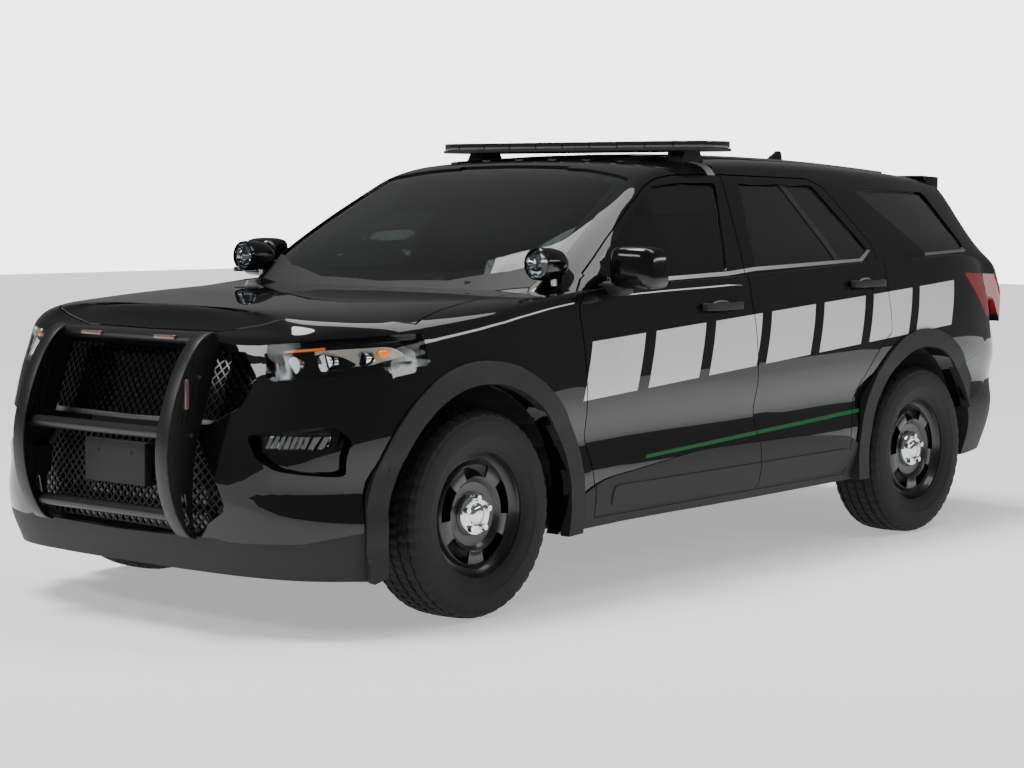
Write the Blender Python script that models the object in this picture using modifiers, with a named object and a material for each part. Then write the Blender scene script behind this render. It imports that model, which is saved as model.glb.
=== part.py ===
# Police patrol utility vehicle, built from its outer surfaces inwards.
# X is the car's left, Y runs rearwards, Z is up. Heights start at the ground.
# Every place is a share of WHEELBASE along Y, of HALF_WIDTH across and of ROOF_HEIGHT upwards,
# counted from the middle of the front axle at ground level.
import math

import bmesh
import bpy
from mathutils import Matrix, Vector

# Driving dimensions in metres
WHEELBASE = 3.025
HALF_WIDTH = 0.990
ROOF_HEIGHT = 1.712
TYRE_RADIUS = 0.3816
TYRE_WIDTH = 0.255
RIM_RADIUS = 0.2286
HALF_TRACK = 0.8475

# Gaps
TOUCH = 0.0003
SHUT_GAP = 0.005
OVERRUN = 0.05

# Walls
SKIN = 0.018
SIDE_WALL = 0.085
END_WALL = 0.055
ROOF_WALL = 0.030
PILLAR_WALL = 0.045
GLASS_DEPTH = 0.008
GLASS_THICKNESS = 0.005
RECESS_DEPTH = 0.030
FLANGE_WIDTH = 0.030
BOX_CLEARANCE = 0.006
PILLAR_FACE = 0.030

# Arches and wheel houses
ARCH_RADIUS = 0.475
ARCH_TRIM_RADIUS = 0.545
ARCH_TRIM_THICKNESS = 0.012
ARCH_TRIM_LIFT = 0.004
REAR_SHUT_RADIUS = 0.620
FRONT_WELL_ROOM = 0.220
REAR_WELL_ROOM = 0.090
WELL_INNER_X = HALF_TRACK - TYRE_WIDTH / 2 - FRONT_WELL_ROOM
REAR_WELL_INNER_X = HALF_TRACK - TYRE_WIDTH / 2 - REAR_WELL_ROOM
WELL_SHEET = 0.025
ARCH_SIDES = 28

# Wheels: radii and offsets from the wheel's middle plane
WHEEL_STEPS = 24
RING_STEPS = 18
RING_TUBE_STEPS = 5
BEAD_RADIUS = 0.2325
BEAD_HALF_WIDTH = 0.1000
FLANGE_RADIUS = 0.2455
FLANGE_OUTSIDE = 0.1100
FLANGE_CLEARANCE = 0.0015
BARREL_THICKNESS = 0.0100
HUB_RADIUS = 0.065
HUB_BACK = -0.030
HOLE_REACH = 0.120
RIM_HOLES = 5
RIM_HOLE_RADIUS = 0.155
RIM_HOLE_DEPTH = 0.034
RIM_HOLE_SPREAD = 40
STEER_OFFSET = 0.0475
STEER_X = HALF_TRACK - STEER_OFFSET

# Under the body
FIREWALL_Y = 0.470
FIREWALL_WALL = 0.040
BAY_FRONT_Y = -0.720
BAY_SIDE_ROOM = 0.010
BAY_WALL = 0.030
BAY_HALF_WIDTH = WELL_INNER_X - BAY_SIDE_ROOM
BAY_BOTTOM = 0.271
BAY_TOP = 0.930
HOOD_STOP_X = 0.600
HOOD_STOP_SIZE = 0.060
ROOF_TAB_X = 0.200
SUBFRAME_BOTTOM = 0.200
SUBFRAME_HALF_LENGTH = 0.380
ARM_BOTTOM = 0.225
ARM_TOP = 0.258
ARM_ROOT_HALF = 0.100
ARM_TIP_HALF = 0.020
ARM_TIP_OFFSET = 0.1075
ARM_TIP_X = HALF_TRACK - ARM_TIP_OFFSET
ENGINE_ROOM = 0.120
ENGINE_HALF_WIDTH = BAY_HALF_WIDTH - BAY_WALL - ENGINE_ROOM
ENGINE_HALF_LENGTH = 0.340
ENGINE_Y = -0.120
ENGINE_TOP = 0.820
UPRIGHT_OFFSET = 0.1025
UPRIGHT_THICKNESS = 0.045
UPRIGHT_OUTER_X = HALF_TRACK - UPRIGHT_OFFSET
UPRIGHT_INNER_X = UPRIGHT_OUTER_X - UPRIGHT_THICKNESS
UPRIGHT_HALF = 0.050
UPRIGHT_TOP = 0.590
SPINDLE_RADIUS = 0.045
STRUT_OFFSET = 0.060
STRUT_X = UPRIGHT_INNER_X - STRUT_OFFSET
STRUT_RADIUS = 0.032
SPRING_RADIUS = 0.060
STRUT_TOP = 0.825
STRUT_FOOT = 0.500
REAR_BEAM_ROOM = 0.070
REAR_BEAM_HALF_WIDTH = REAR_WELL_INNER_X - REAR_BEAM_ROOM
REAR_BEAM_HALF_LENGTH = 0.120
REAR_BEAM_BOTTOM = 0.300
REAR_BEAM_TOP = 0.380
REAR_MOUNT_OFFSET = 0.110
REAR_MOUNT_X = REAR_BEAM_HALF_WIDTH - REAR_MOUNT_OFFSET
REAR_MOUNT_RADIUS = 0.045
TANK_HALF_WIDTH = 0.420
TANK_BOTTOM = 0.205
HINGE_HEIGHT = 0.090
HINGE_DEPTH = 0.058
HINGE_THICKNESS = 0.029
HINGE_OUTER_X = HALF_WIDTH - HINGE_DEPTH
HINGE_INNER_X = HINGE_OUTER_X - HINGE_THICKNESS

# Cabin
DASH_CLEARANCE = 0.115
DASH_HALF_WIDTH = HALF_WIDTH - SIDE_WALL - DASH_CLEARANCE
SEAT_X = 0.380
SEAT_HALF_WIDTH = 0.255
BENCH_CLEARANCE = 0.035
BENCH_HALF_WIDTH = REAR_WELL_INNER_X - WELL_SHEET - BENCH_CLEARANCE
WHEEL_RING_RADIUS = 0.185
WHEEL_RING_TUBE = 0.015
STEERING_HUB_RADIUS = 0.055
COLUMN_RADIUS = 0.030
STEERING_TILT = 25

# Fittings outside
MIRROR_SHARES = (1.0606, 0.2694, 0.7407)
MIRROR_HALF_SIZE = (0.092, 0.068, 0.070)
MIRROR_ARM_SHARES = (0.9091, 0.2645, 0.6776)
MIRROR_ARM_RADIUS = 0.028
SPOTLIGHT_SHARES = (0.8162, 0.1838, 0.7465)
SPOTLIGHT_RADIUS = 0.063
SPOTLIGHT_HALF_LENGTH = 0.085
SPOTLIGHT_ARM_SHARES = (0.8202, 0.2116, 0.6834)
SPOTLIGHT_ARM_RADIUS = 0.016
BAR_HALF_LENGTH = 0.753
BAR_HALF_DEPTH = 0.145
BAR_PLACE_SHARE = 0.5772
BAR_CLEARANCE = 0.010
BAR_THICKNESS = 0.043
BAR_BOTTOM = ROOF_HEIGHT + BAR_CLEARANCE
BAR_ROOT_SHARE = 0.9
BAR_FOOT_X = 0.560
BAR_FOOT_HALF = 0.045
HANDLE_HALF_LENGTH = 0.130
HANDLE_HALF_HEIGHT = 0.015
HANDLE_REACH = 0.034
HANDLE_SINK = 0.012
HANDLE_SHARES = {"front": (0.4845, 0.6367), "rear": (0.8486, 0.6746)}
SOFT_SHARE = 0.75
PUSH_X = 0.392
PUSH_BAND_WIDTH = 0.052
PUSH_BAND_THICKNESS = 0.012
PUSH_PLATE_THICKNESS = 0.008
PUSH_BAR_RADIUS = 0.022
BAR_SIDES = 12
GRILLE_THICKNESS = 0.018
GRILLE_BORDER = 0.022
GRILLE_BAR = 0.011
DIAMOND_PITCH = 0.085

COLLECTION_NAME = "police_patrol_car"
WORK_NAME = "working_solids"

# Half outline of the body in plan: share of half width, share of wheelbase
PLAN_SHARES = (
    (0.0, -0.299), (0.354, -0.296), (0.626, -0.283), (0.808, -0.251), (0.909, -0.198),
    (0.965, -0.139), (0.995, 0.0), (0.995, 0.198), (1.0, 0.562), (1.0, 0.826),
    (0.995, 1.025), (0.965, 1.174), (0.899, 1.266), (0.758, 1.329), (0.455, 1.362), (0.0, 1.370),
)
# Levels of the lower body: share of the height from bottom edge to shoulder,
# then how far side, front and rear lie inside the plan, as shares of half width
LEVEL_SHARES = (
    (0.0, 0.050, 0.061, 0.141), (0.14, 0.012, 0.015, 0.091), (0.25, 0.005, 0.0, 0.030),
    (0.38, 0.030, 0.0, 0.0), (0.52, 0.0, 0.015, 0.010), (0.68, 0.003, 0.056, 0.101),
    (0.79, 0.015, 0.086, 0.111), (0.89, 0.035, 0.116, 0.131), (1.0, 0.061, 0.152, 0.182),
)
# Rings of the top surface: share of the half width kept, extra inset of the ends
# as a share of half width, share of the rise from shoulder to crown
TOP_SHARES = (
    (0.97, 0.03, 0.35), (0.90, 0.07, 0.62), (0.75, 0.12, 0.85), (0.50, 0.20, 0.97),
    (0.25, 0.30, 1.0),
)
# Edge lines along the body: share of wheelbase, share of roof height
BOTTOM_SHARES = (
    (-0.299, 0.125), (-0.15, 0.110), (-0.12, 0.110), (0.15, 0.155), (0.80, 0.172),
    (1.0, 0.180), (1.2, 0.187), (1.37, 0.200),
)
SHOULDER_SHARES = (
    (-0.299, 0.602), (-0.099, 0.613), (0.198, 0.683), (0.331, 0.695), (0.42, 0.695),
    (0.555, 0.704), (0.77, 0.724), (0.86, 0.724), (1.058, 0.736), (1.19, 0.736),
    (1.306, 0.701), (1.37, 0.672),
)
CROWN_SHARES = (
    (-0.299, 0.602), (-0.25, 0.625), (-0.218, 0.660), (0.0, 0.680), (0.149, 0.689),
    (0.33, 0.672), (1.2, 0.672), (1.37, 0.660),
)
# Cross sections of the glasshouse: place along the wheelbase, half width at the belt and
# at the roof rail, height of the rail and of the crown, share of a wall taken off the end
HOUSE_SHARES = (
    (0.116, 0.885, 0.848, 0.572, 0.643, 0.0), (0.182, 0.895, 0.852, 0.663, 0.733, 0.0),
    (0.231, 0.904, 0.845, 0.727, 0.794, 0.0), (0.298, 0.914, 0.810, 0.805, 0.862, 0.0),
    (0.364, 0.922, 0.763, 0.876, 0.923, 0.0), (0.410, 0.925, 0.730, 0.924, 0.958, 0.0),
    (0.450, 0.924, 0.709, 0.945, 0.977, 0.0), (0.496, 0.923, 0.700, 0.954, 0.985, 0.0),
    (0.661, 0.921, 0.692, 0.963, 1.0, 0.0), (0.860, 0.914, 0.690, 0.958, 0.996, 0.0),
    (1.058, 0.894, 0.676, 0.938, 0.981, 0.0), (1.190, 0.869, 0.650, 0.920, 0.967, 0.0),
    (1.236, 0.859, 0.635, 0.914, 0.958, 0.3), (1.256, 0.854, 0.667, 0.853, 0.894, 1.0),
    (1.289, 0.848, 0.727, 0.742, 0.765, 1.0), (1.319, 0.838, 0.788, 0.654, 0.666, 1.0),
)
# Roof arc: share of the rail's half width, share of the rise from rail to crown
ROOF_ARC_SHARES = ((0.93, 0.45), (0.75, 0.75), (0.45, 0.93), (0.0, 1.0))
BELT_SINK = 0.16
HINGE_SHARES = (0.40, 0.54)
RAIL_OVER_BELT = 0.03
SIDE_BULGE = 0.012

# Side outlines: share of wheelbase, share of roof height
FRONT_SHUT_SHARES = (
    (0.2165, 0.180), (0.2056, 0.263), (0.188, 0.432), (0.188, 0.584), (0.1894, 0.654),
    (0.205, 0.678), (0.2314, 0.7214), (0.2975, 0.799), (0.3636, 0.870), (0.410, 0.918),
    (0.443, 0.937), (0.4826, 0.946),
)
PILLAR_SHUT_SHARES = ((0.595, 0.949), (0.5587, 0.704), (0.5587, 0.420), (0.5736, 0.187))
REAR_SHUT_SHARES = (
    (0.810, 0.9416), (0.843, 0.920), (0.904, 0.777), (0.9074, 0.730), (0.9058, 0.560),
)
REAR_SHUT_FOOT_SHARES = ((0.7967, 0.263), (0.7934, 0.190))
FRONT_WINDOW_SHARES = (
    (0.2645, 0.704), (0.2645, 0.7477), (0.4274, 0.920), (0.496, 0.9276), (0.5736, 0.9276),
    (0.5207, 0.7155),
)
REAR_WINDOW_SHARES = (
    (0.5868, 0.724), (0.628, 0.9276), (0.813, 0.925), (0.8876, 0.759), (0.8595, 0.737),
)
QUARTER_WINDOW_SHARES = ((0.9256, 0.916), (1.154, 0.910), (1.190, 0.7535), (1.0545, 0.7465))
BUMPER_SIDE_SHARES = (
    (-0.4, 0.06), (-0.155, 0.06), (-0.155, 0.385), (-0.142, 0.467), (-0.109, 0.543),
    (-0.089, 0.57), (-0.089, 0.75), (-0.4, 0.75),
)
FENDER_SIDE_SHARES = (
    (-0.089, 0.75), (-0.089, 0.57), (-0.109, 0.543), (-0.142, 0.467), (-0.155, 0.385),
    (-0.155, 0.2), (0.0, 0.2), (0.0, 0.09), (0.2165, 0.09),
    (0.2165, 0.180), (0.2056, 0.263), (0.188, 0.432), (0.188, 0.584), (0.1894, 0.654),
    (0.1894, 0.75),
)
REAR_BUMPER_SIDE_SHARES = (
    (1.137, 0.09), (1.150, 0.385), (1.185, 0.467), (1.236, 0.543), (1.5, 0.543), (1.5, 0.09),
)
TAIL_LAMP_SHARES = (
    (1.150, 0.690), (1.42, 0.668), (1.42, 0.566), (1.250, 0.562), (1.225, 0.564),
)
# Front and rear outlines: share of half width, share of roof height
HEADLAMP_SHARES = (
    (0.606, 0.655), (0.606, 0.60), (0.636, 0.530), (0.667, 0.5216), (0.889, 0.534),
    (1.1, 0.560), (1.1, 0.655),
)
HEADLAMP_REAR_SHARE = -0.089
GRILLE_SHARES = (
    (0.0, 0.578), (0.525, 0.575), (0.606, 0.526), (0.566, 0.467), (0.444, 0.429), (0.0, 0.427),
)
GRILLE_PLACE_SHARE = -0.2577
LOW_CUT_SHARE = 0.5
HOOD_AXIS_SHARE = 0.1745
HOOD_LIP = 0.025
LAMP_INNER_SHARE = 0.727
DOOR_AXIS_SHARES = {"front": 0.188, "rear": 0.5587}
DOOR_CORNER_SHARES = ((0.0, 0.10), (0.868, 0.10), (0.868, 0.232), (0.0, 0.232))
BELT_LINE_SHARES = ((0.0, 0.672), (1.1, 0.72), (1.1, 0.0), (0.0, 0.0))
REAR_SHUT_ARC = (118, 167)
REAR_SHUT_STEPS = 5
GRILLE_LEAN_SHARE = 0.098
FOG_SHARES = ((0.636, 0.420), (0.85, 0.432), (0.90, 0.405), (0.88, 0.335), (0.71, 0.348))
LOWER_GRILLE_SHARES = ((0.0, 0.315), (0.46, 0.315), (0.56, 0.262), (0.40, 0.200), (0.0, 0.196))
TAILGATE_SHARES = (
    (0.0, 1.1), (0.606, 1.1), (0.606, 0.934), (0.641, 0.87), (0.727, 0.725), (0.727, 0.672),
    (0.667, 0.55), (0.640, 0.468), (0.0, 0.466),
)
TAILGATE_GLASS_SHARES = (
    (0.0, 0.905), (0.52, 0.890), (0.60, 0.735), (0.56, 0.715), (0.0, 0.712),
)
TAILGATE_FRONT_SHARE = 1.208
TAILGATE_REACH_SHARES = (
    (1.208, 1.1), (1.208, 0.945), (1.246, 0.80), (1.250, 0.66), (1.262, 0.40), (1.45, 0.40), (1.45, 1.1),
)
TAILGATE_AXIS_SHARE = 0.968
TAILGATE_BEVEL = 0.030
TAILGATE_RELIEF = 0.012
# Plan outlines: share of half width, share of wheelbase
HOOD_SHARES = (
    (0.0, -0.241), (0.354, -0.238), (0.606, -0.218), (0.788, -0.165), (0.889, -0.109),
    (0.904, -0.094), (0.859, -0.033), (0.808, 0.05), (0.773, 0.142), (0.747, 0.172),
)
HOOD_REAR_SHARES = ((0.747, 0.172), (0.606, 0.155), (0.354, 0.137), (0.0, 0.132))
SCREEN_FOOT_SHARES = ((0.0, 0.155), (0.354, 0.162), (0.606, 0.188), (0.780, 0.222))
SCREEN_HEAD_SHARES = ((0.675, 0.405), (0.404, 0.4215), (0.0, 0.4264))
ROOF_PANEL_SHARES = ((0.0, 0.4330), (0.404, 0.4290), (0.606, 0.4215), (0.606, 1.206), (0.0, 1.206))

FLOOR_SHARES = (
    (0.155, 0.158), (0.843, 0.158), (0.893, 0.292), (1.316, 0.292), (1.316, 0.310),
    (0.886, 0.310), (0.836, 0.176), (0.155, 0.176),
)
DASH_SHARES = (
    (0.155, 0.44), (0.155, 0.605), (0.24, 0.622), (0.292, 0.600), (0.300, 0.54), (0.270, 0.46),
    (0.22, 0.42),
)
SEAT_SHARES = (
    (0.375, 0.170), (0.520, 0.170), (0.520, 0.28), (0.548, 0.32), (0.605, 0.64), (0.618, 0.70),
    (0.640, 0.80), (0.615, 0.815), (0.600, 0.80), (0.585, 0.70), (0.565, 0.64), (0.520, 0.42),
    (0.505, 0.375), (0.37, 0.39), (0.352, 0.36), (0.36, 0.30), (0.375, 0.27),
)
BENCH_SHARES = (
    (0.70, 0.170), (0.825, 0.170), (0.862, 0.275), (0.890, 0.35), (0.925, 0.66), (0.90, 0.68),
    (0.85, 0.42), (0.83, 0.385), (0.70, 0.40), (0.685, 0.36), (0.695, 0.28),
)
STEERING_SHARES = (0.338, 0.575)
TANK_SHARES = (0.62, 0.80)
# Tyre from the flange outwards: share of the tyre radius, share of half its width
TYRE_SHARES = ((0.655, 0.88), (0.79, 1.0), (0.92, 0.98), (0.99, 0.84), (1.0, 0.60))
# Face and back of the wheel: share of the rim radius, share of half the bead width
FACE_SHARES = (
    (0.955, 0.75), (0.83, 0.50), (0.74, 0.64), (0.50, 0.62), (0.40, 0.56), (0.31, 0.80), (0.0, 0.88),
)
BACK_SHARES = ((0.40, 0.44), (0.74, 0.50), (0.83, 0.38))
# Push bumper upright, front curve from the top tip to the foot, then the plate's rear edge
PUSH_FRONT_SHARES = (
    (-0.256, 0.6046), (-0.2645, 0.6162), (-0.281, 0.6075), (-0.2992, 0.5754), (-0.3157, 0.5257),
    (-0.3289, 0.4673), (-0.3375, 0.4089), (-0.3390, 0.3505), (-0.3339, 0.2921), (-0.3223, 0.2395),
    (-0.3074, 0.2044), (-0.2942, 0.1957),
)
PUSH_REAR_SHARES = ((-0.272, 0.1957), (-0.246, 0.592))
PUSH_BAR_SHARES = ((-0.2678, 0.6016), (-0.3207, 0.4136), (-0.3107, 0.2453))
PUSH_BRACKET_SHARES = ((-0.315, 0.300), (-0.25, 0.358))

FRONT_REACH = -WHEELBASE * min(place for place, height in PUSH_FRONT_SHARES)
REAR_REACH = WHEELBASE * PLAN_SHARES[-1][1]

# Colours: red, green, blue, roughness, metallic
FINISHES = {
    "paint": (0.010, 0.011, 0.014, 0.15, 0.0),
    "cladding": (0.045, 0.043, 0.040, 0.60, 0.0),
    "glass": (0.02, 0.02, 0.022, 0.05, 0.0),
    "lamp": (0.6, 0.6, 0.6, 0.10, 0.0),
    "tail_lamp": (0.35, 0.01, 0.01, 0.15, 0.0),
    "steel": (0.02, 0.02, 0.02, 0.45, 0.6),
    "bare_metal": (0.35, 0.35, 0.36, 0.45, 1.0),
    "rubber": (0.02, 0.02, 0.02, 0.85, 0.0),
    "fabric": (0.03, 0.03, 0.033, 0.95, 0.0),
    "trim": (0.03, 0.03, 0.03, 0.70, 0.0),
}


def clear_scene():
    for item in list(bpy.data.objects):
        bpy.data.objects.remove(item, do_unlink=True)


def make_collection(name):
    collection = bpy.data.collections.new(name)
    bpy.context.scene.collection.children.link(collection)
    return collection


def make_material(name, finish):
    red, green, blue, roughness, metallic = FINISHES[finish]
    material = bpy.data.materials.new(name)
    material.use_nodes = True
    shader = material.node_tree.nodes["Principled BSDF"]
    shader.inputs["Base Color"].default_value = (red, green, blue, 1.0)
    shader.inputs["Roughness"].default_value = roughness
    shader.inputs["Metallic"].default_value = metallic
    return material


clear_scene()
CAR = make_collection(COLLECTION_NAME)
WORK = make_collection(WORK_NAME)


def mesh_object(name, shape):
    bmesh.ops.recalc_face_normals(shape, faces=shape.faces)
    mesh = bpy.data.meshes.new(name)
    shape.to_mesh(mesh)
    shape.free()
    item = bpy.data.objects.new(name, mesh)
    item.hide_render = True
    item.display_type = "WIRE"
    WORK.objects.link(item)
    return item


def copy_of(item):
    twin = item.copy()
    twin.data = item.data.copy()
    WORK.objects.link(twin)
    return twin


def drop(*items):
    for item in items:
        bpy.data.objects.remove(item, do_unlink=True)


def combine(target, other, operation, keep_other=False):
    change = target.modifiers.new(operation.lower(), "BOOLEAN")
    change.operation = operation
    change.solver = "EXACT"
    change.object = other
    evaluated = target.evaluated_get(bpy.context.evaluated_depsgraph_get())
    mesh = bpy.data.meshes.new_from_object(evaluated)
    target.modifiers.remove(change)
    target.data = mesh
    if not keep_other:
        drop(other)
    return target


def cut(target, other, keep_other=False):
    return combine(target, other, "DIFFERENCE", keep_other)


def join(target, other, keep_other=False):
    return combine(target, other, "UNION", keep_other)


def common(target, other, keep_other=False):
    return combine(target, other, "INTERSECT", keep_other)


def largest_body(item):
    shape = bmesh.new()
    shape.from_mesh(item.data)
    left = set(shape.faces)
    bodies = []
    while left:
        seed = left.pop()
        body = {seed}
        front = [seed]
        while front:
            face = front.pop()
            for edge in face.edges:
                for other in edge.link_faces:
                    if other in left:
                        left.remove(other)
                        body.add(other)
                        front.append(other)
        bodies.append(body)
    keep = max(bodies, key=lambda body: sum(face.calc_area() for face in body))
    spare = [face for face in shape.faces if face not in keep]
    bmesh.ops.delete(shape, geom=spare, context="FACES")
    shape.to_mesh(item.data)
    shape.free()
    return item


def finish(item, name, material, parent=None):
    item.name = name
    item.data.name = name
    item.data.materials.clear()
    item.data.materials.append(make_material(name, material))
    item.hide_render = False
    item.display_type = "TEXTURED"
    item.data.shade_smooth()
    item.data.set_sharp_from_angle(angle=math.radians(30))
    WORK.objects.unlink(item)
    CAR.objects.link(item)
    item.parent = parent if parent else ORIGIN
    if parent:
        item.data.transform(Matrix.Translation(-JOINT_PLACES[parent.name]))
    return item


def mirrored(item):
    twin = copy_of(item)
    twin.data.transform(Matrix.Scale(-1, 4, (1, 0, 0)))
    twin.data.flip_normals()
    return twin


def along(shares):
    return shares * WHEELBASE


def across(shares):
    return shares * HALF_WIDTH


def upward(shares):
    return shares * ROOF_HEIGHT


def between(table, place):
    if place <= table[0][0]:
        return table[0][1]
    for (low, low_value), (high, high_value) in zip(table, table[1:]):
        if place <= high:
            return low_value + (high_value - low_value) * (place - low) / (high - low)
    return table[-1][1]


def edge_height(table, y):
    return upward(between(table, y / WHEELBASE))


def side_outline(shares):
    return [(along(y), upward(z)) for y, z in shares]


def front_outline(shares):
    return [(across(x), upward(z)) for x, z in shares]


def plan_outline(shares):
    return [(across(x), along(y)) for x, y in shares]


def both_sides(half):
    return half + [(-x, y) for x, y in reversed(half) if x > 0]


def arc(centre, radius, start, end, steps):
    points = []
    for step in range(steps + 1):
        angle = math.radians(start + (end - start) * step / steps)
        points.append((centre[0] + radius * math.cos(angle), centre[1] + radius * math.sin(angle)))
    return points


def signed_area(points):
    total = 0
    for (ax, ay), (bx, by) in zip(points, points[1:] + points[:1]):
        total += ax * by - bx * ay
    return total / 2


def grown(points, distance):
    turn = 1 if signed_area(points) > 0 else -1
    result = []
    for index, point in enumerate(points):
        before = Vector(points[index - 1])
        here = Vector(point)
        after = Vector(points[(index + 1) % len(points)])
        first = (here - before).normalized()
        second = (after - here).normalized()
        normal_a = Vector((first.y, -first.x)) * turn
        normal_b = Vector((second.y, -second.x)) * turn
        middle = (normal_a + normal_b).normalized()
        result.append(tuple(here + middle * distance / max(middle.dot(normal_a), 0.4)))
    return result


def prism(name, points, axis, low, high):
    order = {"X": lambda a, b, depth: (depth, a, b), "Y": lambda a, b, depth: (a, depth, b),
             "Z": lambda a, b, depth: (a, b, depth)}[axis]
    shape = bmesh.new()
    corners = [shape.verts.new(order(a, b, low)) for a, b in points]
    face = shape.faces.new(corners)
    swept = bmesh.ops.extrude_face_region(shape, geom=[face])
    moved = [item for item in swept["geom"] if isinstance(item, bmesh.types.BMVert)]
    bmesh.ops.translate(shape, verts=moved, vec=order(0, 0, high - low))
    return mesh_object(name, shape)


def box(name, low, high):
    shape = bmesh.new()
    bmesh.ops.create_cube(shape, size=1)
    low = Vector(low)
    high = Vector(high)
    bmesh.ops.scale(shape, verts=shape.verts, vec=high - low)
    bmesh.ops.translate(shape, verts=shape.verts, vec=(low + high) / 2)
    return mesh_object(name, shape)


def cylinder(name, start, end, radius, sides, end_radius=None):
    start = Vector(start)
    end = Vector(end)
    shape = bmesh.new()
    bmesh.ops.create_cone(shape, cap_ends=True, segments=sides, radius1=radius,
                          radius2=radius if end_radius is None else end_radius,
                          depth=(end - start).length)
    turn = (end - start).to_track_quat("Z", "Y").to_matrix().to_4x4()
    shape.transform(Matrix.Translation((start + end) / 2) @ turn)
    return mesh_object(name, shape)


def skin_rings(name, rings):
    # Each ring starts at the middle, runs down the left half and back up the right half
    shape = bmesh.new()
    rows = [[shape.verts.new(point) for point in ring] for ring in rings]
    count = len(rows[0])
    for lower, upper in zip(rows, rows[1:]):
        for index in range(count):
            after = (index + 1) % count
            shape.faces.new((lower[index], lower[after], upper[after], upper[index]))
    for row in (rows[0], rows[-1]):
        half = count // 2
        for index in range(half):
            a, b = row[index], row[index + 1]
            c, d = row[-index - 1] if index + 1 < half else b, row[-index] if index else a
            corners = []
            for corner in (a, b, c, d):
                if corner not in corners:
                    corners.append(corner)
            shape.faces.new(corners)
    bmesh.ops.triangulate(shape, faces=shape.faces)
    return mesh_object(name, shape)


def mirrored_ring(half):
    return half + [(-x, y, z) for x, y, z in reversed(half[1:-1])]


def plan_with_normals():
    points = plan_outline(PLAN_SHARES)
    result = []
    for index, (x, y) in enumerate(points):
        before = points[index - 1] if index else (-points[1][0], points[1][1])
        after = points[index + 1] if index + 1 < len(points) else (-points[-2][0], points[-2][1])
        tangent = Vector(after) - Vector(before)
        normal = Vector((-tangent.y, tangent.x)).normalized()
        if normal.dot(Vector((x, y - WHEELBASE / 2))) < 0:
            normal.negate()
        result.append((Vector((x, y)), normal))
    return result


def lower_body(name, side_wall, end_wall, roof_wall, below=0, step=1):
    plan = plan_with_normals()
    rings = []
    levels = LEVEL_SHARES[::step]
    levels = levels if not below else (levels[0],) + levels
    for row, (level, side, front, rear) in enumerate(levels):
        drop_below = below if below and row == 0 else 0
        half = []
        for point, normal in plan:
            end = front if normal.y < 0 else rear
            inset = normal.x ** 2 * (across(side) + side_wall) + normal.y ** 2 * (across(end) + end_wall)
            place = point - normal * inset
            bottom = edge_height(BOTTOM_SHARES, point.y)
            top = edge_height(SHOULDER_SHARES, point.y) - roof_wall
            half.append((max(place.x, 0) if point.x else 0, place.y,
                         bottom + (top - bottom) * level - drop_below))
        rings.append(mirrored_ring(half))
    level, side, front, rear = LEVEL_SHARES[-1]
    for kept, extra, rise in TOP_SHARES[::step]:
        half = []
        for point, normal in plan:
            end = front if normal.y < 0 else rear
            inset = (normal.x ** 2 * (across(side) + side_wall)
                     + normal.y ** 2 * (across(end + extra) + end_wall))
            place = point - normal * inset
            shoulder = edge_height(SHOULDER_SHARES, point.y)
            crown = max(edge_height(CROWN_SHARES, place.y), shoulder)
            half.append((max(place.x, 0) * kept if point.x else 0, place.y,
                         shoulder + (crown - shoulder) * rise - roof_wall))
        rings.append(mirrored_ring(half))
    return skin_rings(name, rings)


def house_section(row, side_wall, roof_wall, end_wall):
    place, belt, rail, rail_height, crown_height, back = row
    y = along(place) - end_wall * back
    x_belt = across(belt) - side_wall
    x_rail = across(rail) - side_wall
    z_rail = upward(rail_height) - roof_wall
    z_crown = upward(crown_height) - roof_wall
    z_belt = min(edge_height(SHOULDER_SHARES, y), z_rail - RAIL_OVER_BELT)
    z_base = z_belt - BELT_SINK
    half = [(0, y, z_base), (x_belt, y, z_base), (x_belt, y, z_belt)]
    half.append(((x_belt + x_rail) / 2 + SIDE_BULGE, y, (z_belt + z_rail) / 2))
    half.append((x_rail, y, z_rail))
    for reach, rise in ROOF_ARC_SHARES:
        half.append((x_rail * reach, y, z_rail + (z_crown - z_rail) * rise))
    return half


def glasshouse(name, side_wall, roof_wall, end_wall):
    rings = [mirrored_ring(house_section(row, side_wall, roof_wall, end_wall)) for row in HOUSE_SHARES]
    return skin_rings(name, rings)


def body_solid(name, side_wall, pillar_wall, end_wall, roof_wall, below=0, step=1):
    solid = lower_body(name, side_wall, end_wall, roof_wall, below, step)
    return join(solid, glasshouse(name, pillar_wall, roof_wall, end_wall))


def even_solid(name, depth, below=0):
    return body_solid(name, depth, depth, depth, depth, below)


# Everything hangs on one empty, which puts the part's origin at the middle of its footprint
ORIGIN = bpy.data.objects.new("origin", None)
CAR.objects.link(ORIGIN)
ORIGIN.location = (0, -(REAR_REACH - FRONT_REACH) / 2, 0)


JOINT_PLACES = {"origin": Vector((0, 0, 0))}


def joint_empty(name, place, parent=ORIGIN):
    empty = bpy.data.objects.new(name, None)
    CAR.objects.link(empty)
    empty.parent = parent
    empty.location = Vector(place) - JOINT_PLACES[parent.name]
    JOINT_PLACES[name] = Vector(place)
    return empty


AXLE_Z = TYRE_RADIUS
FRONT_AXLE = (0, AXLE_Z)
REAR_AXLE = (WHEELBASE, AXLE_Z)
FAR_X = HALF_WIDTH + 3 * OVERRUN
LOW_Z = -OVERRUN
HIGH_Z = ROOF_HEIGHT + 3 * OVERRUN
FAR_FRONT = -FRONT_REACH - OVERRUN
FAR_REAR = REAR_REACH + OVERRUN
SIDE_CUT_X = 0.30

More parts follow.
